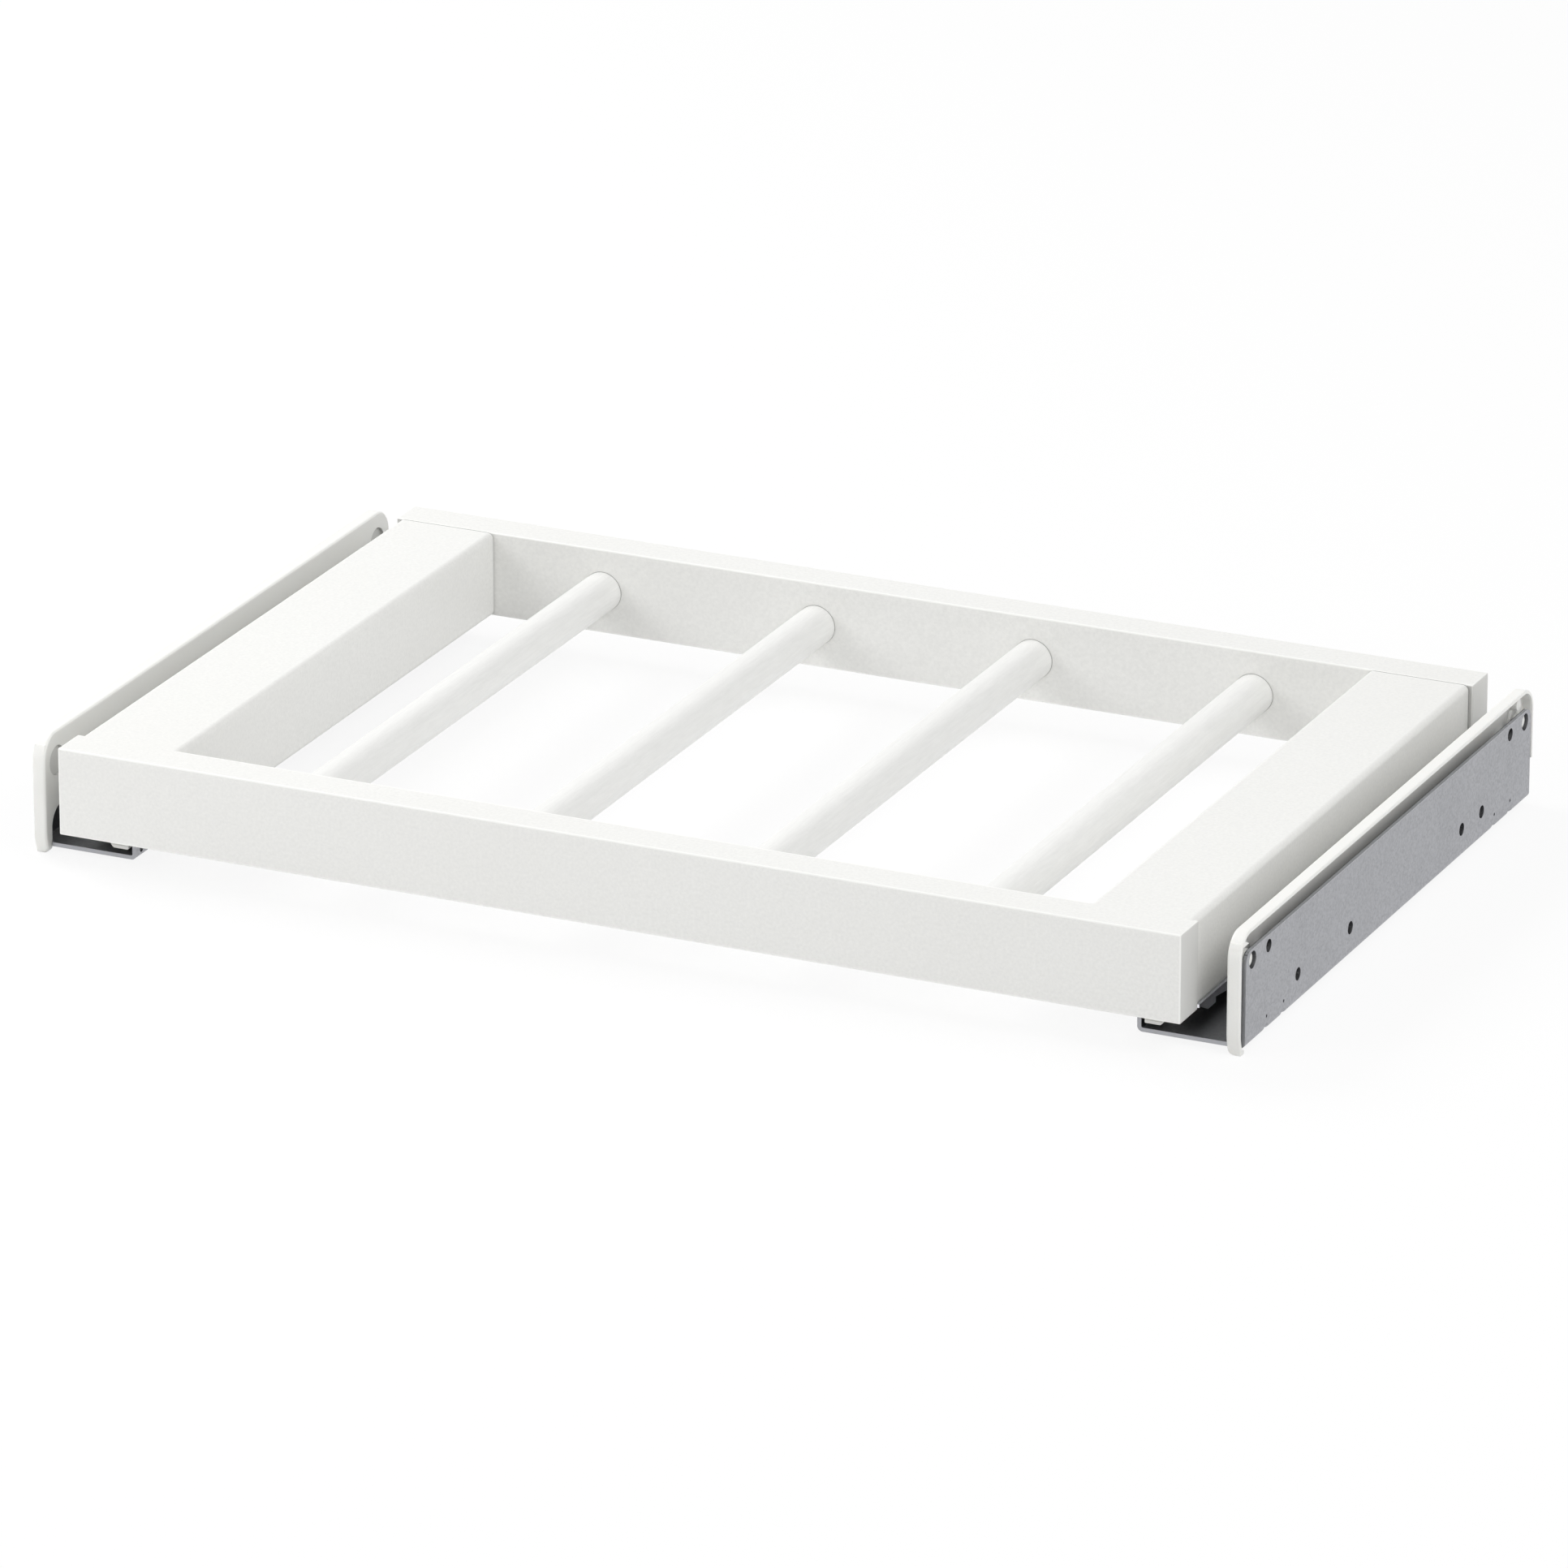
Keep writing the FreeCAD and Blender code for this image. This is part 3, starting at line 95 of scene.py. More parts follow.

# The covers' hollow side, between the panel and the bracket's wall plate and within the rim, darkened with
# painted shade
COVER_END_WALL = 0.0015
COVER_TOP_WALL = 0.0012
COVER_CORNER = 0.0075
RIM_SLACK = 0.0004  # how far the shade runs into the rim
HOLLOW_FROM_FRONT = 0.00665
HOLLOW_FROM_BOTTOM = 0.008
HOLLOW_FADE = 0.008
HOLLOW_PAST_BACK = 0.018
COVER_HOLLOW = (
    (COVER_LOW.x + COVER_PANEL - EDGE / 2, WALL_INSIDE),
    (COVER_LOW.y + HOLLOW_FROM_FRONT, COVER_HIGH.y + HOLLOW_PAST_BACK),
    (COVER_LOW.z + HOLLOW_FROM_BOTTOM, ABOVE_ALL),
)
RIM_INSIDE = {
    "front": COVER_LOW.y + COVER_END_WALL,
    "back": COVER_HIGH.y - COVER_END_WALL,
    "top": COVER_HIGH.z - COVER_TOP_WALL,
    "corner": COVER_CORNER,
    "slack": RIM_SLACK,
}
SHADE_RISE = 0.006  # how far over and under the bracket's upper edge the shade gets lighter
SHADE_LEVELS = (BRACKET_HIGH.z - SHADE_RISE, BRACKET_HIGH.z + SHADE_RISE)
LIGHTER_FROM, LIGHTEST_FROM = 0.057, 0.012  # measured from the cover's back end
SHADE_BACK = (COVER_HIGH.y - LIGHTER_FROM, COVER_HIGH.y - LIGHTEST_FROM)

# Frame: the joints between side rails and end rails, and how far the rods show between the end rails
SIDE_LOW, SIDE_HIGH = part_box("side_rail_right")
ARRIS = 0.0006  # width of the painted highlights along the edges of the end rails
FRONT_JOINT_REACH = 0.0013
BACK_JOINT_LINE = 0.0008
BACK_JOINT_INSIDE, BACK_JOINT_OUTSIDE = 0.0013, 0.0043
BACK_JOINT_FADE = 0.004
ROD_RING = 0.0003
FRONT_JOINT = (
    (SIDE_LOW.x, SIDE_HIGH.x),
    (SIDE_LOW.y - FRONT_JOINT_REACH, SIDE_LOW.y + FRONT_JOINT_REACH),
    (BELOW_ALL, ABOVE_ALL),
)
BACK_JOINT = (
    (SIDE_LOW.x - BACK_JOINT_INSIDE, SIDE_HIGH.x + BACK_JOINT_OUTSIDE),
    (SIDE_HIGH.y - BACK_JOINT_LINE, SIDE_HIGH.y + EDGE / 2),
    (BELOW_ALL, ABOVE_ALL),
)
ROD_SPAN = (SIDE_LOW.y + ROD_RING, SIDE_HIGH.y - ROD_RING)

# Slides: the balls' tracks, on either side of the slide's middle
SLIDE_LOW, SLIDE_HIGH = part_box("fixed_profile_right")
SLIDE_MIDDLE = (SLIDE_LOW.x + SLIDE_HIGH.x) / 2
TRACK_OUT = 0.008
TRACKS = (SLIDE_MIDDLE - TRACK_OUT, SLIDE_MIDDLE + TRACK_OUT)
TRACK_CORE, TRACK_RIM = 0.0004, 0.0009  # where a track starts to fade and where it ends, from its middle

# Studio
FLOOR_SIDE = 12.0
SHADOW_DEPTH = 0.13  # how much darker than white the floor can get in full shadow
LAMP_SIZE = 0.9
LAMP_AIM = (0, 0, 0.02)
LAMP_PLACES = {
    "left_lamp": (-1.6, 0.4, 1.4),
    "right_lamp": (1.25, -0.5, 1.5),
    "front_lamp": (-1.1, -1.2, 0.9),
}
SENSOR_WIDTH = 36.0  # in millimetres
SIGHT_END = 50.0
START_UP_OBJECTS = ("Cube", "Light", "Camera")


# ---------------------------------------------------------------- settings


class RackFinishes(bpy.types.PropertyGroup):
    """Colours and sheen of the rack's finishes."""

    lacquer: bpy.props.FloatVectorProperty(
        name="Rail lacquer",
        description="Colour of the lacquer on the four rails",
        subtype="COLOR",
        size=3,
        min=0,
        max=1,
        default=(0.925, 0.925, 0.902),
    )
    lacquer_roughness: bpy.props.FloatProperty(
        name="Lacquer roughness",
        description="Roughness of the rail lacquer, higher is duller",
        subtype="FACTOR",
        min=0,
        max=1,
        default=0.46,
    )
    coating: bpy.props.FloatVectorProperty(
        name="Rod coating",
        description="Colour of the powder coat on the hanging rods",
        subtype="COLOR",
        size=3,
        min=0,
        max=1,
        default=(0.93, 0.93, 0.911),
    )
    coating_roughness: bpy.props.FloatProperty(
        name="Coating roughness",
        description="Roughness of the powder coat on the hanging rods",
        subtype="FACTOR",
        min=0,
        max=1,
        default=0.38,
    )
    plastic: bpy.props.FloatVectorProperty(
        name="Cover plastic",
        description="Colour of the moulded covers over the wall brackets",
        subtype="COLOR",
        size=3,
        min=0,
        max=1,
        default=(0.94, 0.94, 0.912),
    )
    plating: bpy.props.FloatVectorProperty(
        name="Bracket plating",
        description="Colour of the dull zinc plating on the wall brackets",
        subtype="COLOR",
        size=3,
        min=0,
        max=1,
        default=(0.393, 0.398, 0.418),
    )
    strip: bpy.props.FloatVectorProperty(
        name="Slide strip",
        description="Colour of the cold-rolled strip that the slides are made of",
        subtype="COLOR",
        size=3,
        min=0,
        max=1,
        default=(0.55, 0.555, 0.575),
    )
    rubber: bpy.props.FloatVectorProperty(
        name="Buffer rubber",
        description="Colour of the rear buffers",
        subtype="COLOR",
        size=3,
        min=0,
        max=1,
        default=(0.03, 0.03, 0.032),
    )


class RackStage(bpy.types.PropertyGroup):
    """Camera and lamps of the studio."""

    camera_place: bpy.props.FloatVectorProperty(
        name="Camera place",
        description="Where the camera stands",
        subtype="XYZ",
        unit="LENGTH",
        size=3,
        default=(1.626, -3.529, 1.494),
    )
    camera_turn: bpy.props.FloatProperty(
        name="Camera turn",
        description="How far the camera's aim is turned to the left of straight ahead",
        subtype="ANGLE",
        unit="ROTATION",
        default=math.radians(24.72),
    )
    camera_tilt: bpy.props.FloatProperty(
        name="Camera tilt",
        description="How far the camera looks down from the horizon",
        subtype="ANGLE",
        unit="ROTATION",
        default=math.radians(20.8),
    )
    camera_lens: bpy.props.FloatProperty(
        name="Camera lens",
        description="Focal length of the camera in millimetres, on a 36 mm sensor",
        min=10,
        max=800,
        default=268.8,
    )
    left_lamp: bpy.props.FloatProperty(
        name="Left lamp",
        description="Power of the large soft lamp high on the left, in watts",
        min=0,
        default=19.5,
    )
    right_lamp: bpy.props.FloatProperty(
        name="Right lamp",
        description="Power of the large soft lamp high on the right, in watts",
        min=0,
        default=10.3,
    )
    front_lamp: bpy.props.FloatProperty(
        name="Front lamp",
        description="Power of the soft lamp in front of the rack, on its left, in watts",
        min=0,
        default=7.3,
    )
    surround_left: bpy.props.FloatProperty(
        name="Surround on the left",
        description="Strength of the light that comes from all round, at its left side",
        min=0,
        default=0.36,
    )
    surround_right: bpy.props.FloatProperty(
        name="Surround on the right",
        description="Strength of the light that comes from all round, at its right side",
        min=0,
        default=0.63,
    )
    floor_bounce: bpy.props.FloatProperty(
        name="Floor bounce",
        description="How much light the floor throws back up at the rack",
        subtype="FACTOR",
        min=0,
        max=1,
        default=0.88,
    )


# ---------------------------------------------------------------- node helpers

# Nearly all values of a noise lie between these.
NOISE_SPREAD = (0.3, 0.7)

# How alike the rounded and the true normal are on a face and on a sharp edge
FACE_MATCH, EDGE_MATCH = 0.98, 0.8
BEVEL_SAMPLES = 4
SHARP_RADIUS = 0.0003

# A point on a box's face is clear of its ends along two axes, and a point on an arris along only one.
FACE_COUNT, ARRIS_COUNT = 1.6, 1.2


class Wiring:
    """A node tree under construction."""

    def __init__(self, owner):
        owner.use_nodes = True
        self.tree = owner.node_tree
        self.tree.nodes.clear()

    def add(self, kind, **settings):
        """A new node of this kind."""
        node = self.tree.nodes.new(kind)
        for name, value in settings.items():
            setattr(node, name, value)
        return node

    def join(self, source, target):
        """A link from an output to an input."""
        self.tree.links.new(source, target)

    def spread(self, value, low, high, out_low=0.0, out_high=1.0):
        """Value from low..high spread over out_low..out_high and held there."""
        spread = self.add("ShaderNodeMapRange", clamp=True)
        names = ("From Min", "From Max", "To Min", "To Max")
        for name, number in zip(names, (low, high, out_low, out_high)):
            spread.inputs[name].default_value = number
        self.join(value, spread.inputs["Value"])
        return spread.outputs["Result"]

    def sum_of(self, first, second, operation="ADD"):
        """Two values, or a value and a number, put through one sum."""
        sums = self.add("ShaderNodeMath", operation=operation)
        self.join(first, sums.inputs[0])
        if isinstance(second, float):
            sums.inputs[1].default_value = second
        else:
            self.join(second, sums.inputs[1])
        return sums.outputs["Value"]

    def shown_as(self, seen, unseen):
        """Seen for what the camera, gloss and glass see, and unseen for the light that bounces."""
        path = self.add("ShaderNodeLightPath")
        looked_at = path.outputs["Is Camera Ray"]
        for ray in ("Is Glossy Ray", "Is Transmission Ray"):
            looked_at = self.sum_of(looked_at, path.outputs[ray], "MAXIMUM")
        mix = self.add("ShaderNodeMixShader")
        for source, target in zip((looked_at, unseen, seen), mix.inputs):
            self.join(source, target)
        return mix.outputs["Shader"]


class Finish(Wiring):
    """A material under construction, with a roughness of its own that a pattern may vary."""

    def __init__(self, name, roughness, metallic=0.0, specular=0.5):
        self.material = bpy.data.materials.new(name)
        super().__init__(self.material)
        self.shader = self.add("ShaderNodeBsdfPrincipled")
        output = self.add("ShaderNodeOutputMaterial")
        self.join(self.shader.outputs["BSDF"], output.inputs["Surface"])
        self.roughness = roughness
        self.shader.inputs["Roughness"].default_value = roughness
        self.shader.inputs["Metallic"].default_value = metallic
        self.shader.inputs["Specular IOR Level"].default_value = specular
        self.place = self.add("ShaderNodeTexCoord").outputs["Object"]

    def stretched(self, grain, along):
        """The place on the object, counted in grains that are longer where along is under 1."""
        mapping = self.add("ShaderNodeMapping")
        mapping.inputs["Scale"].default_value = [factor / grain for factor in along]
        self.join(self.place, mapping.inputs["Vector"])
        return mapping.outputs["Vector"]

    def noise(self, grain, detail=2, rough=0.5, along=(1, 1, 1)):
        """Smooth noise whose features are about grain metres wide, longer where along is under 1."""
        noise = self.add("ShaderNodeTexNoise")
        noise.inputs["Scale"].default_value = 1.0
        noise.inputs["Detail"].default_value = detail
        noise.inputs["Roughness"].default_value = rough
        self.join(self.stretched(grain, along), noise.inputs["Vector"])
        return noise.outputs["Fac"]

    def patches(self, grain, detail=2, limits=NOISE_SPREAD, along=(1, 1, 1)):
        """Noise from 0 to 1, which it reaches where the bare noise is at its limits."""
        return self.spread(self.noise(grain, detail, along=along), *limits)

    def cells(self, grain):
        """Grey cells about grain metres wide, as in plated crystals."""
        cells = self.add("ShaderNodeTexVoronoi", feature="F1")
        cells.inputs["Scale"].default_value = 1.0
        self.join(self.stretched(grain, (1, 1, 1)), cells.inputs["Vector"])
        split = self.add("ShaderNodeSeparateColor")
        self.join(cells.outputs["Color"], split.inputs["Color"])
        return split.outputs[0]

    def blend(self, amount, first, second):
        """A colour between first and second. Each is a colour or the output of another blend."""
        mix = self.add("ShaderNodeMix", data_type="RGBA")
        self.join(amount, mix.inputs["Factor"])
        for colour, socket in ((first, mix.inputs[6]), (second, mix.inputs[7])):
            if isinstance(colour, bpy.types.NodeSocket):
                self.join(colour, socket)
            else:
                socket.default_value = (*colour, 1.0)
        return mix.outputs[2]

    def over(self, colour, amount, tone, strength=1.0):
        """A colour with tone laid over it where amount is 1."""
        if strength < 1:
            amount = self.sum_of(amount, strength, "MULTIPLY")
        return self.blend(amount, colour, tone)

    def mottled(self, base, grain, detail, dark, light, warmth=0.0, along=(1, 1, 1)):
        """The base colour in soft clouds about grain metres wide, from dark to light times as bright."""
        clouds = self.patches(grain, detail, along=along)
        return self.blend(clouds, tinted(base, dark, warmth), tinted(base, light))

    def edges(self):
        """1 on sharp edges, and 0 on the faces between them."""
        soft = self.add("ShaderNodeBevel", samples=BEVEL_SAMPLES)
        soft.inputs["Radius"].default_value = SHARP_RADIUS
        true = self.add("ShaderNodeNewGeometry")
        match = self.add("ShaderNodeVectorMath", operation="DOT_PRODUCT")
        self.join(soft.outputs["Normal"], match.inputs[0])
        self.join(true.outputs["Normal"], match.inputs[1])
        return self.spread(match.outputs["Value"], FACE_MATCH, EDGE_MATCH)

    @functools.cached_property
    def axes(self):
        """The place on the object along each axis, with X measured from the middle to either side."""
        split = self.add("ShaderNodeSeparateXYZ")
        self.join(self.place, split.inputs["Vector"])
        across = self.sum_of(split.outputs["X"], 0.0, "ABSOLUTE")
        return across, split.outputs["Y"], split.outputs["Z"]

    def apart(self, value, place):
        """How far value is from place, either way."""
        return self.sum_of(self.sum_of(value, place, "SUBTRACT"), 0.0, "ABSOLUTE")

    def between(self, value, low, high, fade=EDGE):
        """1 while value is between low and high, and 0 beyond them."""
        half = (high - low) / 2
        return self.spread(self.apart(value, (low + high) / 2), half - fade, half, 1.0, 0.0)

    def inside(self, room, fades=(EDGE, EDGE, EDGE)):
        """1 inside a room and 0 outside it."""
        limits = zip(self.axes, room, fades)
        within = [self.between(value, low, high, fade) for value, (low, high), fade in limits]
        return self.sum_of(self.sum_of(within[0], within[1], "MULTIPLY"), within[2], "MULTIPLY")

    def within_corners(self, front, back, top, corner, slack):
        """1 inside an outline along Y and Z with rounded upper corners, and 0 from slack outside it."""
        _, along, up = self.axes
        away = self.apart(along, (front + back) / 2)
        past = self.sum_of(self.sum_of(away, (back - front) / 2 - corner, "SUBTRACT"), 0.0, "MAXIMUM")
        above = self.sum_of(self.sum_of(up, top - corner, "SUBTRACT"), 0.0, "MAXIMUM")
        squares = self.sum_of(self.sum_of(past, 2.0, "POWER"), self.sum_of(above, 2.0, "POWER"))
        reach = corner + slack
        return self.spread(self.sum_of(squares, 0.5, "POWER"), reach, reach + 2 * EDGE, 1.0, 0.0)

    def arrises(self, box):
        """1 along a box's arrises, and 0 on its faces."""
        limits = zip(self.axes, *box)
        middles = [self.between(value, low + ARRIS, high - ARRIS) for value, low, high in limits]
        count = self.sum_of(self.sum_of(middles[0], middles[1]), middles[2])
        return self.spread(count, FACE_COUNT, ARRIS_COUNT)

    def varied(self, value, less, more, limits=NOISE_SPREAD):
        """Roughness from less under to more over the finish's own, as value crosses its limits."""
        return self.spread(value, *limits, self.roughness - less, self.roughness + more)

    def bump(self, height, depth):
        """Raises the surface by height, which runs from 0 to 1, times depth metres."""
        bump = self.add("ShaderNodeBump")
        bump.inputs["Strength"].default_value = 1.0
        bump.inputs["Distance"].default_value = depth
        self.join(height, bump.inputs["Height"])
        self.feed("Normal", bump.outputs["Normal"])

    def feed(self, name, value):
        """Joins value to the shader's input of this name."""
        self.join(value, self.shader.inputs[name])

    def dress(self, *nodes):
        """Puts this finish on CAD nodes, in place of their plain material."""
        for node in nodes:
            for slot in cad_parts[node].material_slots:
                slot.material = self.material


def tinted(colour, factor, warmth=0.0):
    """A colour made lighter or darker by factor, and warmer by warmth."""
    factors = (factor * (1 + warmth), factor, factor * (1 - warmth))
    return tuple(min(part * change, 1) for part, change in zip(colour, factors))


def both(stem):
    """The names of the left-hand and the right-hand piece."""
    return tuple(f"{stem}_{hand}" for hand in HANDS)


# ---------------------------------------------------------------- finishes

BALL_STEEL = (0.8, 0.81, 0.82)
BALL_GREASE = (0.68, 0.68, 0.66)
ZINC_BLUE = (0.6, 0.62, 0.66)
ZINC_STRAW = (0.68, 0.66, 0.61)
# Colour of the painted highlights on the fasteners' sharp edges
ZINC_EDGE_HIGHLIGHT = (0.8, 0.8, 0.8)
BEECH_DARK = (0.52, 0.33, 0.18)
BEECH_LIGHT = (0.66, 0.46, 0.28)
BEECH_FLECK = (0.36, 0.2, 0.1)


def lacquer(finishes, rail):
    """Satin lacquer on board, with faint clouds, fine orange peel and a dark line at the back joint.

    The front and back rail also have short ends darkened with painted shade, and painted highlights along
    their arrises apart from the front joint.
    """
    paint = Finish(f"{rail}_lacquer_satin", finishes.lacquer_roughness)
    base = finishes.lacquer
    grain = paint.patches(grain=0.0011, limits=(0.25, 0.75))
    colour = paint.mottled(base, grain=0.07, detail=3, dark=0.985, light=1.005, warmth=0.003)
    colour = paint.over(colour, grain, tinted(base, 0.9), strength=0.8)
    if rail in END_RAILS:
        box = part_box(rail)
        # Painted highlights along the end rails' arrises, left out at the front joint
        arrises = paint.sum_of(paint.arrises(box), paint.inside(FRONT_JOINT), "SUBTRACT")
        colour = paint.over(colour, arrises, tinted(base, 1.06), strength=0.9)
        # Painted shade on the short end faces of the end rails
        across, _, _ = paint.axes
        end = box[1].x
        colour = paint.over(colour, paint.spread(across, end - 2 * EDGE, end - EDGE), tinted(base, 0.8))
    joint = paint.inside(BACK_JOINT, (BACK_JOINT_FADE, EDGE, EDGE))
    paint.feed("Base Color", paint.over(colour, joint, tinted(base, 0.42)))
    paint.feed("Roughness", paint.varied(paint.noise(grain=0.004, detail=3), less=0.05, more=0.05))
    peel = paint.sum_of(paint.noise(grain=0.0016), paint.sum_of(grain, 0.35, "MULTIPLY"))
    paint.bump(peel, depth=0.000012)
    return paint


def powder_coat(finishes):
    """Semi-gloss powder coat: an even pebble, tiny flecks, draw lines and a dark ring at each rail."""
    coat = Finish("rod_powder_coat", finishes.coating_roughness)
    base = finishes.coating
    pebble = coat.noise(grain=0.0009, detail=3)
    flecks = coat.patches(grain=0.0005, detail=1, limits=(0.62, 0.8))
    drawn = coat.patches(grain=0.0008, detail=3, along=(1, 0.08, 1))
    colour = coat.mottled(base, grain=0.05, detail=2, dark=0.985, light=1.005)
    colour = coat.over(colour, drawn, tinted(base, 0.92), strength=0.7)
    colour = coat.over(colour, flecks, tinted(base, 0.88), strength=0.7)
    _, along, _ = coat.axes
    coat.feed("Base Color", coat.blend(coat.between(along, *ROD_SPAN), tinted(base, 0.6), colour))
    coat.feed("Roughness", coat.varied(pebble, less=0.04, more=0.06))
    coat.bump(coat.sum_of(pebble, coat.noise(grain=0.0028, detail=1)), depth=0.000018)
    return coat


def moulded_plastic(finishes):
    """Satin moulded plastic: a fine spark-eroded grain, flow marks and a little depth under the skin.

    The face towards the rack is darkened with painted shade, and the dishes over the studs with darker
    painted shade still.
    On the hollow side painted shade is dark low down and gets lighter upwards and towards the back.
    """
    plastic = Finish("cover_moulded_plastic", 0.4)
    base = finishes.plastic
    across, along, up = plastic.axes
    grain = plastic.noise(grain=0.00045)
    colour = plastic.mottled(
        base, grain=0.03, detail=2, dark=0.982, light=1.004, warmth=0.002, along=(1, 0.25, 1))
    colour = plastic.over(colour, plastic.spread(grain, 0.5, 0.8), tinted(base, 0.95), strength=0.5)
    # Painted shade on the face towards the rack
    colour = plastic.over(colour, plastic.between(across, *COVER_FACE), tinted(base, 0.82))
    # Painted shade in the dishes over the studs
    for dish in STUD_DISHES:
        colour = plastic.over(colour, plastic.inside(dish), tinted(base, 0.6))
    # Painted shade on the hollow side: dark low down, lighter upwards and towards the back
    shade = plastic.blend(plastic.spread(up, *SHADE_LEVELS), tinted(base, 0.12), tinted(base, 0.72))
    shade = plastic.over(shade, plastic.spread(along, *SHADE_BACK), tinted(base, 0.87))
    hollow = plastic.inside(COVER_HOLLOW, (EDGE, HOLLOW_FADE, EDGE))
    hollow = plastic.sum_of(hollow, plastic.within_corners(**RIM_INSIDE), "MULTIPLY")
    plastic.feed("Base Color", plastic.over(colour, hollow, shade))
    plastic.feed("Roughness", plastic.varied(grain, less=0.04, more=0.06))
    plastic.bump(grain, depth=0.00001)
    plastic.shader.inputs["Subsurface Weight"].default_value = 0.08
    plastic.shader.inputs["Subsurface Radius"].default_value = (1.0, 0.9, 0.8)
    plastic.shader.inputs["Subsurface Scale"].default_value = 0.0012
    return plastic


def dull_zinc(finishes):
    """Dull zinc plating on rolled sheet: fine crystals, clean sheared ends and a painted highlight on the
    upper edge.

    The sides of the wall holes are darkened with painted shade, and painted shade darkens the channel.
    """
    zinc = Finish("bracket_dull_zinc", 0.5, metallic=1.0)
    base = finishes.plating
    _, along, up = zinc.axes
    crystals = zinc.cells(grain=0.0009)
    specks = zinc.patches(grain=0.0008, limits=(0.35, 0.7))
    colour = zinc.mottled(base, grain=0.02, detail=4, dark=0.97, light=1.03)
    colour = zinc.over(colour, crystals, tinted(base, 0.76), strength=0.6)
    colour = zinc.over(colour, specks, tinted(base, 1.28), strength=0.5)
    colour = zinc.blend(zinc.between(along, *BRACKET_SPAN), base, colour)
    # Painted highlight along the bracket's upper edge
    upper_edge_highlight = zinc.spread(up, BRACKET_HIGH.z - 2 * EDGE, BRACKET_HIGH.z - EDGE)
    colour = zinc.over(colour, upper_edge_highlight, tinted(base, 1.35))
    # Painted shade on the sides of the wall holes
    colour = zinc.over(colour, zinc.inside(WALL_BORES), tinted(base, 0.4))
    # Painted shade in the channel between lip and wall plate
    zinc.feed("Base Color", zinc.over(colour, zinc.inside(CHANNEL), tinted(base, 0.34)))
    rough = zinc.varied(zinc.sum_of(crystals, specks), less=0.08, more=0.06, limits=(0.3, 1.7))
    zinc.feed("Roughness", rough)
    zinc.bump(zinc.sum_of(specks, zinc.sum_of(crystals, 0.4, "MULTIPLY")), depth=0.000006)
    return zinc


def slide_strip(name, base):
    """Bright plated strip, drawn lengthwise, with the balls' polished tracks along it."""
    strip = Finish(name, 0.34, metallic=1.0)
    across, _, _ = strip.axes
    drawn = strip.noise(grain=0.0004, detail=3, along=(1, 0.03, 1))
    colour = strip.mottled(base, grain=0.02, detail=2, dark=0.93, light=1.05, warmth=-0.01)
    colour = strip.over(colour, strip.spread(drawn, 0.35, 0.75), tinted(base, 1.15), strength=0.6)
    lines = [strip.spread(strip.apart(across, track), TRACK_CORE, TRACK_RIM, 1.0, 0.0) for track in TRACKS]
    polished = strip.sum_of(*lines, "MAXIMUM")
    strip.feed("Base Color", strip.over(colour, polished, tinted(base, 1.3), strength=0.5))
    smoother = strip.sum_of(polished, 0.12, "MULTIPLY")
    strip.feed("Roughness", strip.sum_of(strip.varied(drawn, less=0.06, more=0.08), smoother, "SUBTRACT"))
    strip.bump(drawn, depth=0.000005)
    return strip


def stamped_cage(finishes):
    """Thin stamped strip of the ball cages, a tone darker than the profiles, with painted highlights on its
    sharp edges.
    """
    cage = Finish("cage_stamped_strip", 0.42, metallic=1.0)
    base = tinted(finishes.strip, 0.88)
    drawn = cage.noise(grain=0.0005, along=(1, 0.05, 1))
    colour = cage.mottled(base, grain=0.012, detail=2, dark=0.92, light=1.06)
    # Painted highlights on the cage's sharp edges
    cage.feed("Base Color", cage.over(colour, cage.edges(), tinted(base, 1.3), strength=0.5))
    cage.feed("Roughness", cage.varied(drawn, less=0.06, more=0.08))
    cage.bump(drawn, depth=0.000004)
    return cage


def polished_steel():
    """Polished bearing balls under a thin film of grease."""
    balls = Finish("ball_polished_steel", 0.12, metallic=1.0)
    smears = balls.patches(grain=0.0012, detail=3, limits=(0.35, 0.7))
    balls.feed("Base Color", balls.blend(smears, BALL_STEEL, BALL_GREASE))
    balls.feed("Roughness", balls.varied(balls.noise(grain=0.0009), less=0.04, more=0.1))
    return balls


def bright_zinc():
    """Bright zinc on screws and rivets, with the faint blue and straw of its passivation, and painted
    highlights on their sharp edges.
    """
    zinc = Finish("fastener_bright_zinc", 0.3, metallic=1.0)
    colour = zinc.blend(zinc.patches(grain=0.0025, limits=(0.35, 0.65)), ZINC_BLUE, ZINC_STRAW)
    # Painted highlights on the sharp edges of screws and rivets
    zinc.feed("Base Color", zinc.over(colour, zinc.edges(), ZINC_EDGE_HIGHLIGHT, strength=0.6))
    zinc.feed("Roughness", zinc.varied(zinc.noise(grain=0.0006), less=0.06, more=0.08))
    zinc.bump(zinc.noise(grain=0.0005), depth=0.000006)
    return zinc


def soft_rubber(finishes):
    """Matt black rubber with a faint bloom."""
    rubber = Finish("buffer_soft_rubber", 0.75, specular=0.35)
    bloom = rubber.patches(grain=0.003, detail=3, limits=(0.4, 0.75))
    rubber.feed("Base Color", rubber.blend(bloom, finishes.rubber, tinted(finishes.rubber, 1.9)))
    rubber.feed("Roughness", rubber.varied(rubber.noise(grain=0.0007), less=0.07, more=0.09))
    rubber.bump(rubber.noise(grain=0.0005, detail=3), depth=0.00002)
    return rubber


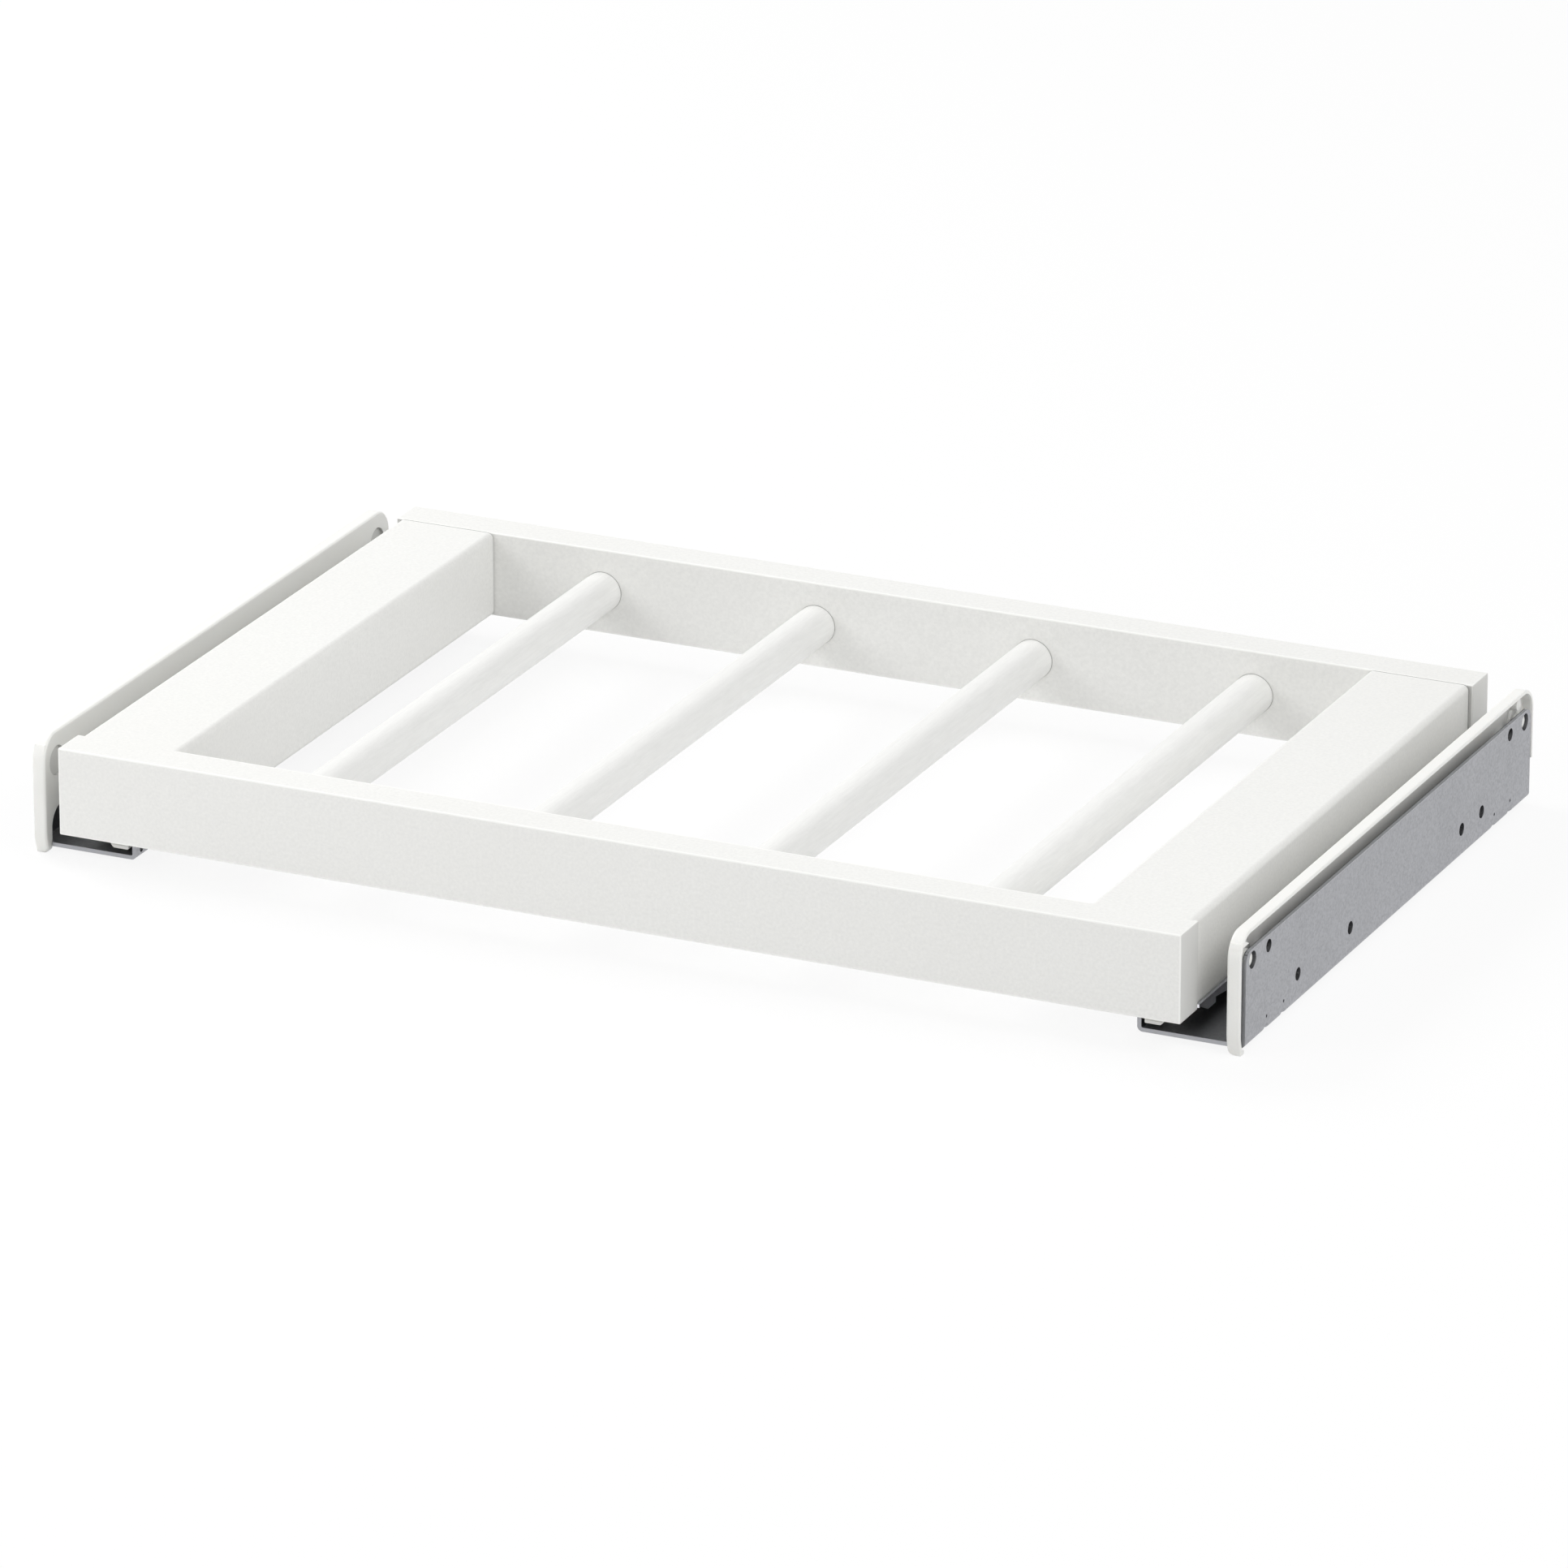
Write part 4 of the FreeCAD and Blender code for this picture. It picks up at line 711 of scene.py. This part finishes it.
def beech():
    """Plain beech: long grain along the dowel with short dark flecks."""
    wood = Finish("dowel_beech", 0.62)
    grain = wood.noise(grain=0.0009, detail=4, rough=0.6, along=(1, 0.06, 1))
    flecks = wood.patches(grain=0.0005, limits=(0.6, 0.75), along=(1, 0.2, 1))
    colour = wood.blend(wood.spread(grain, *NOISE_SPREAD), BEECH_DARK, BEECH_LIGHT)
    wood.feed("Base Color", wood.over(colour, flecks, BEECH_FLECK, strength=0.6))
    wood.feed("Roughness", wood.varied(grain, less=0.07, more=0.08))
    wood.bump(grain, depth=0.00004)
    return wood


# ---------------------------------------------------------------- operators


class RACK_OT_finish_frame(bpy.types.Operator):
    """Lacquers the four rails, coats the hanging rods and finishes the dowels of the joints"""

    bl_idname = "rack.finish_frame"
    bl_label = "Finish the frame"

    def execute(self, context):
        finishes = context.scene.rack_finishes
        for rail in END_RAILS + SIDE_RAILS:
            lacquer(finishes, rail).dress(rail)
        powder_coat(finishes).dress(*RODS)
        beech().dress("front_dowels")
        return {"FINISHED"}


class RACK_OT_finish_brackets(bpy.types.Operator):
    """Plates the wall brackets and finishes their moulded covers and rubber buffers"""

    bl_idname = "rack.finish_brackets"
    bl_label = "Finish the brackets"

    def execute(self, context):
        finishes = context.scene.rack_finishes
        dull_zinc(finishes).dress(*both("cabinet_bracket"))
        moulded_plastic(finishes).dress(*both("bracket_cover"), *both("front_clip"))
        soft_rubber(finishes).dress(*both("rear_buffer"))
        return {"FINISHED"}


class RACK_OT_finish_slides(bpy.types.Operator):
    """Finishes the slides' profiles, plates, ball cages and balls, and all screws and rivets"""

    bl_idname = "rack.finish_slides"
    bl_label = "Finish the slides"

    def execute(self, context):
        finishes = context.scene.rack_finishes
        profiles = both("fixed_profile") + both("middle_profile") + both("drawer_profile")
        slide_strip("slide_plated_strip", finishes.strip).dress(*profiles)
        # The runner plates get the strip colour made 1.5 times lighter, as painted light in their deep
        # shade
        slide_strip("runner_bright_strip", tinted(finishes.strip, 1.5)).dress(*both("runner_plate"))
        stamped_cage(finishes).dress(*both("outer_ball_cage"), *both("inner_ball_cage"))
        polished_steel().dress(*both("outer_balls"), *both("inner_balls"))
        bright_zinc().dress("back_screws", *both("profile_screws"), *both("profile_rivets"))
        return {"FINISHED"}


def light_surround(scene, left, right):
    """Light from all round that runs from left to right strength, and is seen as white."""
    world = bpy.data.worlds.new("studio_surround")
    scene.world = world
    sky = Wiring(world)
    split = sky.add("ShaderNodeSeparateXYZ")
    sky.join(sky.add("ShaderNodeTexCoord").outputs["Generated"], split.inputs["Vector"])
    lights = sky.add("ShaderNodeBackground")
    sky.join(sky.spread(split.outputs["X"], -1, 1, left, right), lights.inputs["Strength"])
    white = sky.add("ShaderNodeBackground")
    for background in (lights, white):
        background.inputs["Color"].default_value = (1, 1, 1, 1)
    output = sky.add("ShaderNodeOutputWorld")
    shown = sky.shown_as(white.outputs["Background"], lights.outputs["Background"])
    sky.join(shown, output.inputs["Surface"])


def lay_floor(bounce):
    """A pale floor that shows white with a soft shadow on it, and throws back bounce of the light."""
    bpy.ops.mesh.primitive_plane_add(size=FLOOR_SIDE, location=(0, 0, 0))
    floor = bpy.context.active_object
    floor.name = "studio_floor"
    material = bpy.data.materials.new("floor_pale")
    floor.data.materials.append(material)
    pale = Wiring(material)
    lit = pale.add("ShaderNodeBsdfDiffuse")
    lit.inputs["Color"].default_value = (bounce, bounce, bounce, 1)
    shade = pale.add("ShaderNodeBsdfDiffuse")
    shade.inputs["Color"].default_value = (SHADOW_DEPTH, SHADOW_DEPTH, SHADOW_DEPTH, 1)
    white = pale.add("ShaderNodeEmission")
    white.inputs["Strength"].default_value = 1 - SHADOW_DEPTH
    seen = pale.add("ShaderNodeAddShader")
    pale.join(shade.outputs["BSDF"], seen.inputs[0])
    pale.join(white.outputs["Emission"], seen.inputs[1])
    output = pale.add("ShaderNodeOutputMaterial")
    pale.join(pale.shown_as(seen.outputs["Shader"], lit.outputs["BSDF"]), output.inputs["Surface"])


def hang_lamp(name, place, power):
    """A square soft lamp at place, turned towards the rack."""
    data = bpy.data.lights.new(name, "AREA")
    data.shape = "SQUARE"
    data.size = LAMP_SIZE
    data.energy = power
    lamp = bpy.data.objects.new(name, data)
    bpy.context.scene.collection.objects.link(lamp)
    lamp.location = place
    lamp.rotation_euler = (Vector(LAMP_AIM) - Vector(place)).to_track_quat("-Z", "Y").to_euler()


def stand_camera(scene, stage):
    """The camera at its place, turned and tilted as the stage says."""
    data = bpy.data.cameras.new("studio_camera")
    data.lens = stage.camera_lens
    data.sensor_width = SENSOR_WIDTH
    data.clip_end = SIGHT_END
    camera = bpy.data.objects.new("studio_camera", data)
    scene.collection.objects.link(camera)
    camera.location = stage.camera_place
    camera.rotation_euler = (math.radians(90) - stage.camera_tilt, 0, stage.camera_turn)
    scene.camera = camera


class RACK_OT_set_stage(bpy.types.Operator):
    """Sets up the floor, the lamps, the surround and the camera"""

    bl_idname = "rack.set_stage"
    bl_label = "Set the stage"

    def execute(self, context):
        scene = context.scene
        for name in START_UP_OBJECTS:
            if name in bpy.data.objects:
                bpy.data.objects.remove(bpy.data.objects[name])
        stage = scene.rack_stage
        scene.view_settings.view_transform = "Standard"
        light_surround(scene, stage.surround_left, stage.surround_right)
        lay_floor(stage.floor_bounce)
        for name, place in LAMP_PLACES.items():
            hang_lamp(name, place, getattr(stage, name))
        stand_camera(scene, stage)
        return {"FINISHED"}


class RACK_PT_panel(bpy.types.Panel):
    """Lists the rack's finishes and steps"""

    bl_idname = "RACK_PT_panel"
    bl_label = "Trouser rack"
    bl_space_type = "VIEW_3D"
    bl_region_type = "UI"
    bl_category = "Trouser rack"

    def draw(self, context):
        for settings in (context.scene.rack_finishes, context.scene.rack_stage):
            box = self.layout.box()
            for name in settings.bl_rna.properties.keys():
                if name not in ("rna_type", "name"):
                    box.prop(settings, name)
        for step in STEPS:
            self.layout.operator(step.bl_idname)


STEPS = (RACK_OT_finish_frame, RACK_OT_finish_brackets, RACK_OT_finish_slides, RACK_OT_set_stage)
CLASSES = (RackFinishes, RackStage, *STEPS, RACK_PT_panel)


def register():
    for cls in CLASSES:
        bpy.utils.register_class(cls)
    bpy.types.Scene.rack_finishes = bpy.props.PointerProperty(type=RackFinishes)
    bpy.types.Scene.rack_stage = bpy.props.PointerProperty(type=RackStage)


def unregister():
    del bpy.types.Scene.rack_stage
    del bpy.types.Scene.rack_finishes
    for cls in reversed(CLASSES):
        bpy.utils.unregister_class(cls)


def main():
    register()
    for step in STEPS:
        group, name = step.bl_idname.split(".")
        getattr(getattr(bpy.ops, group), name)()


if __name__ == "__main__":
    main()
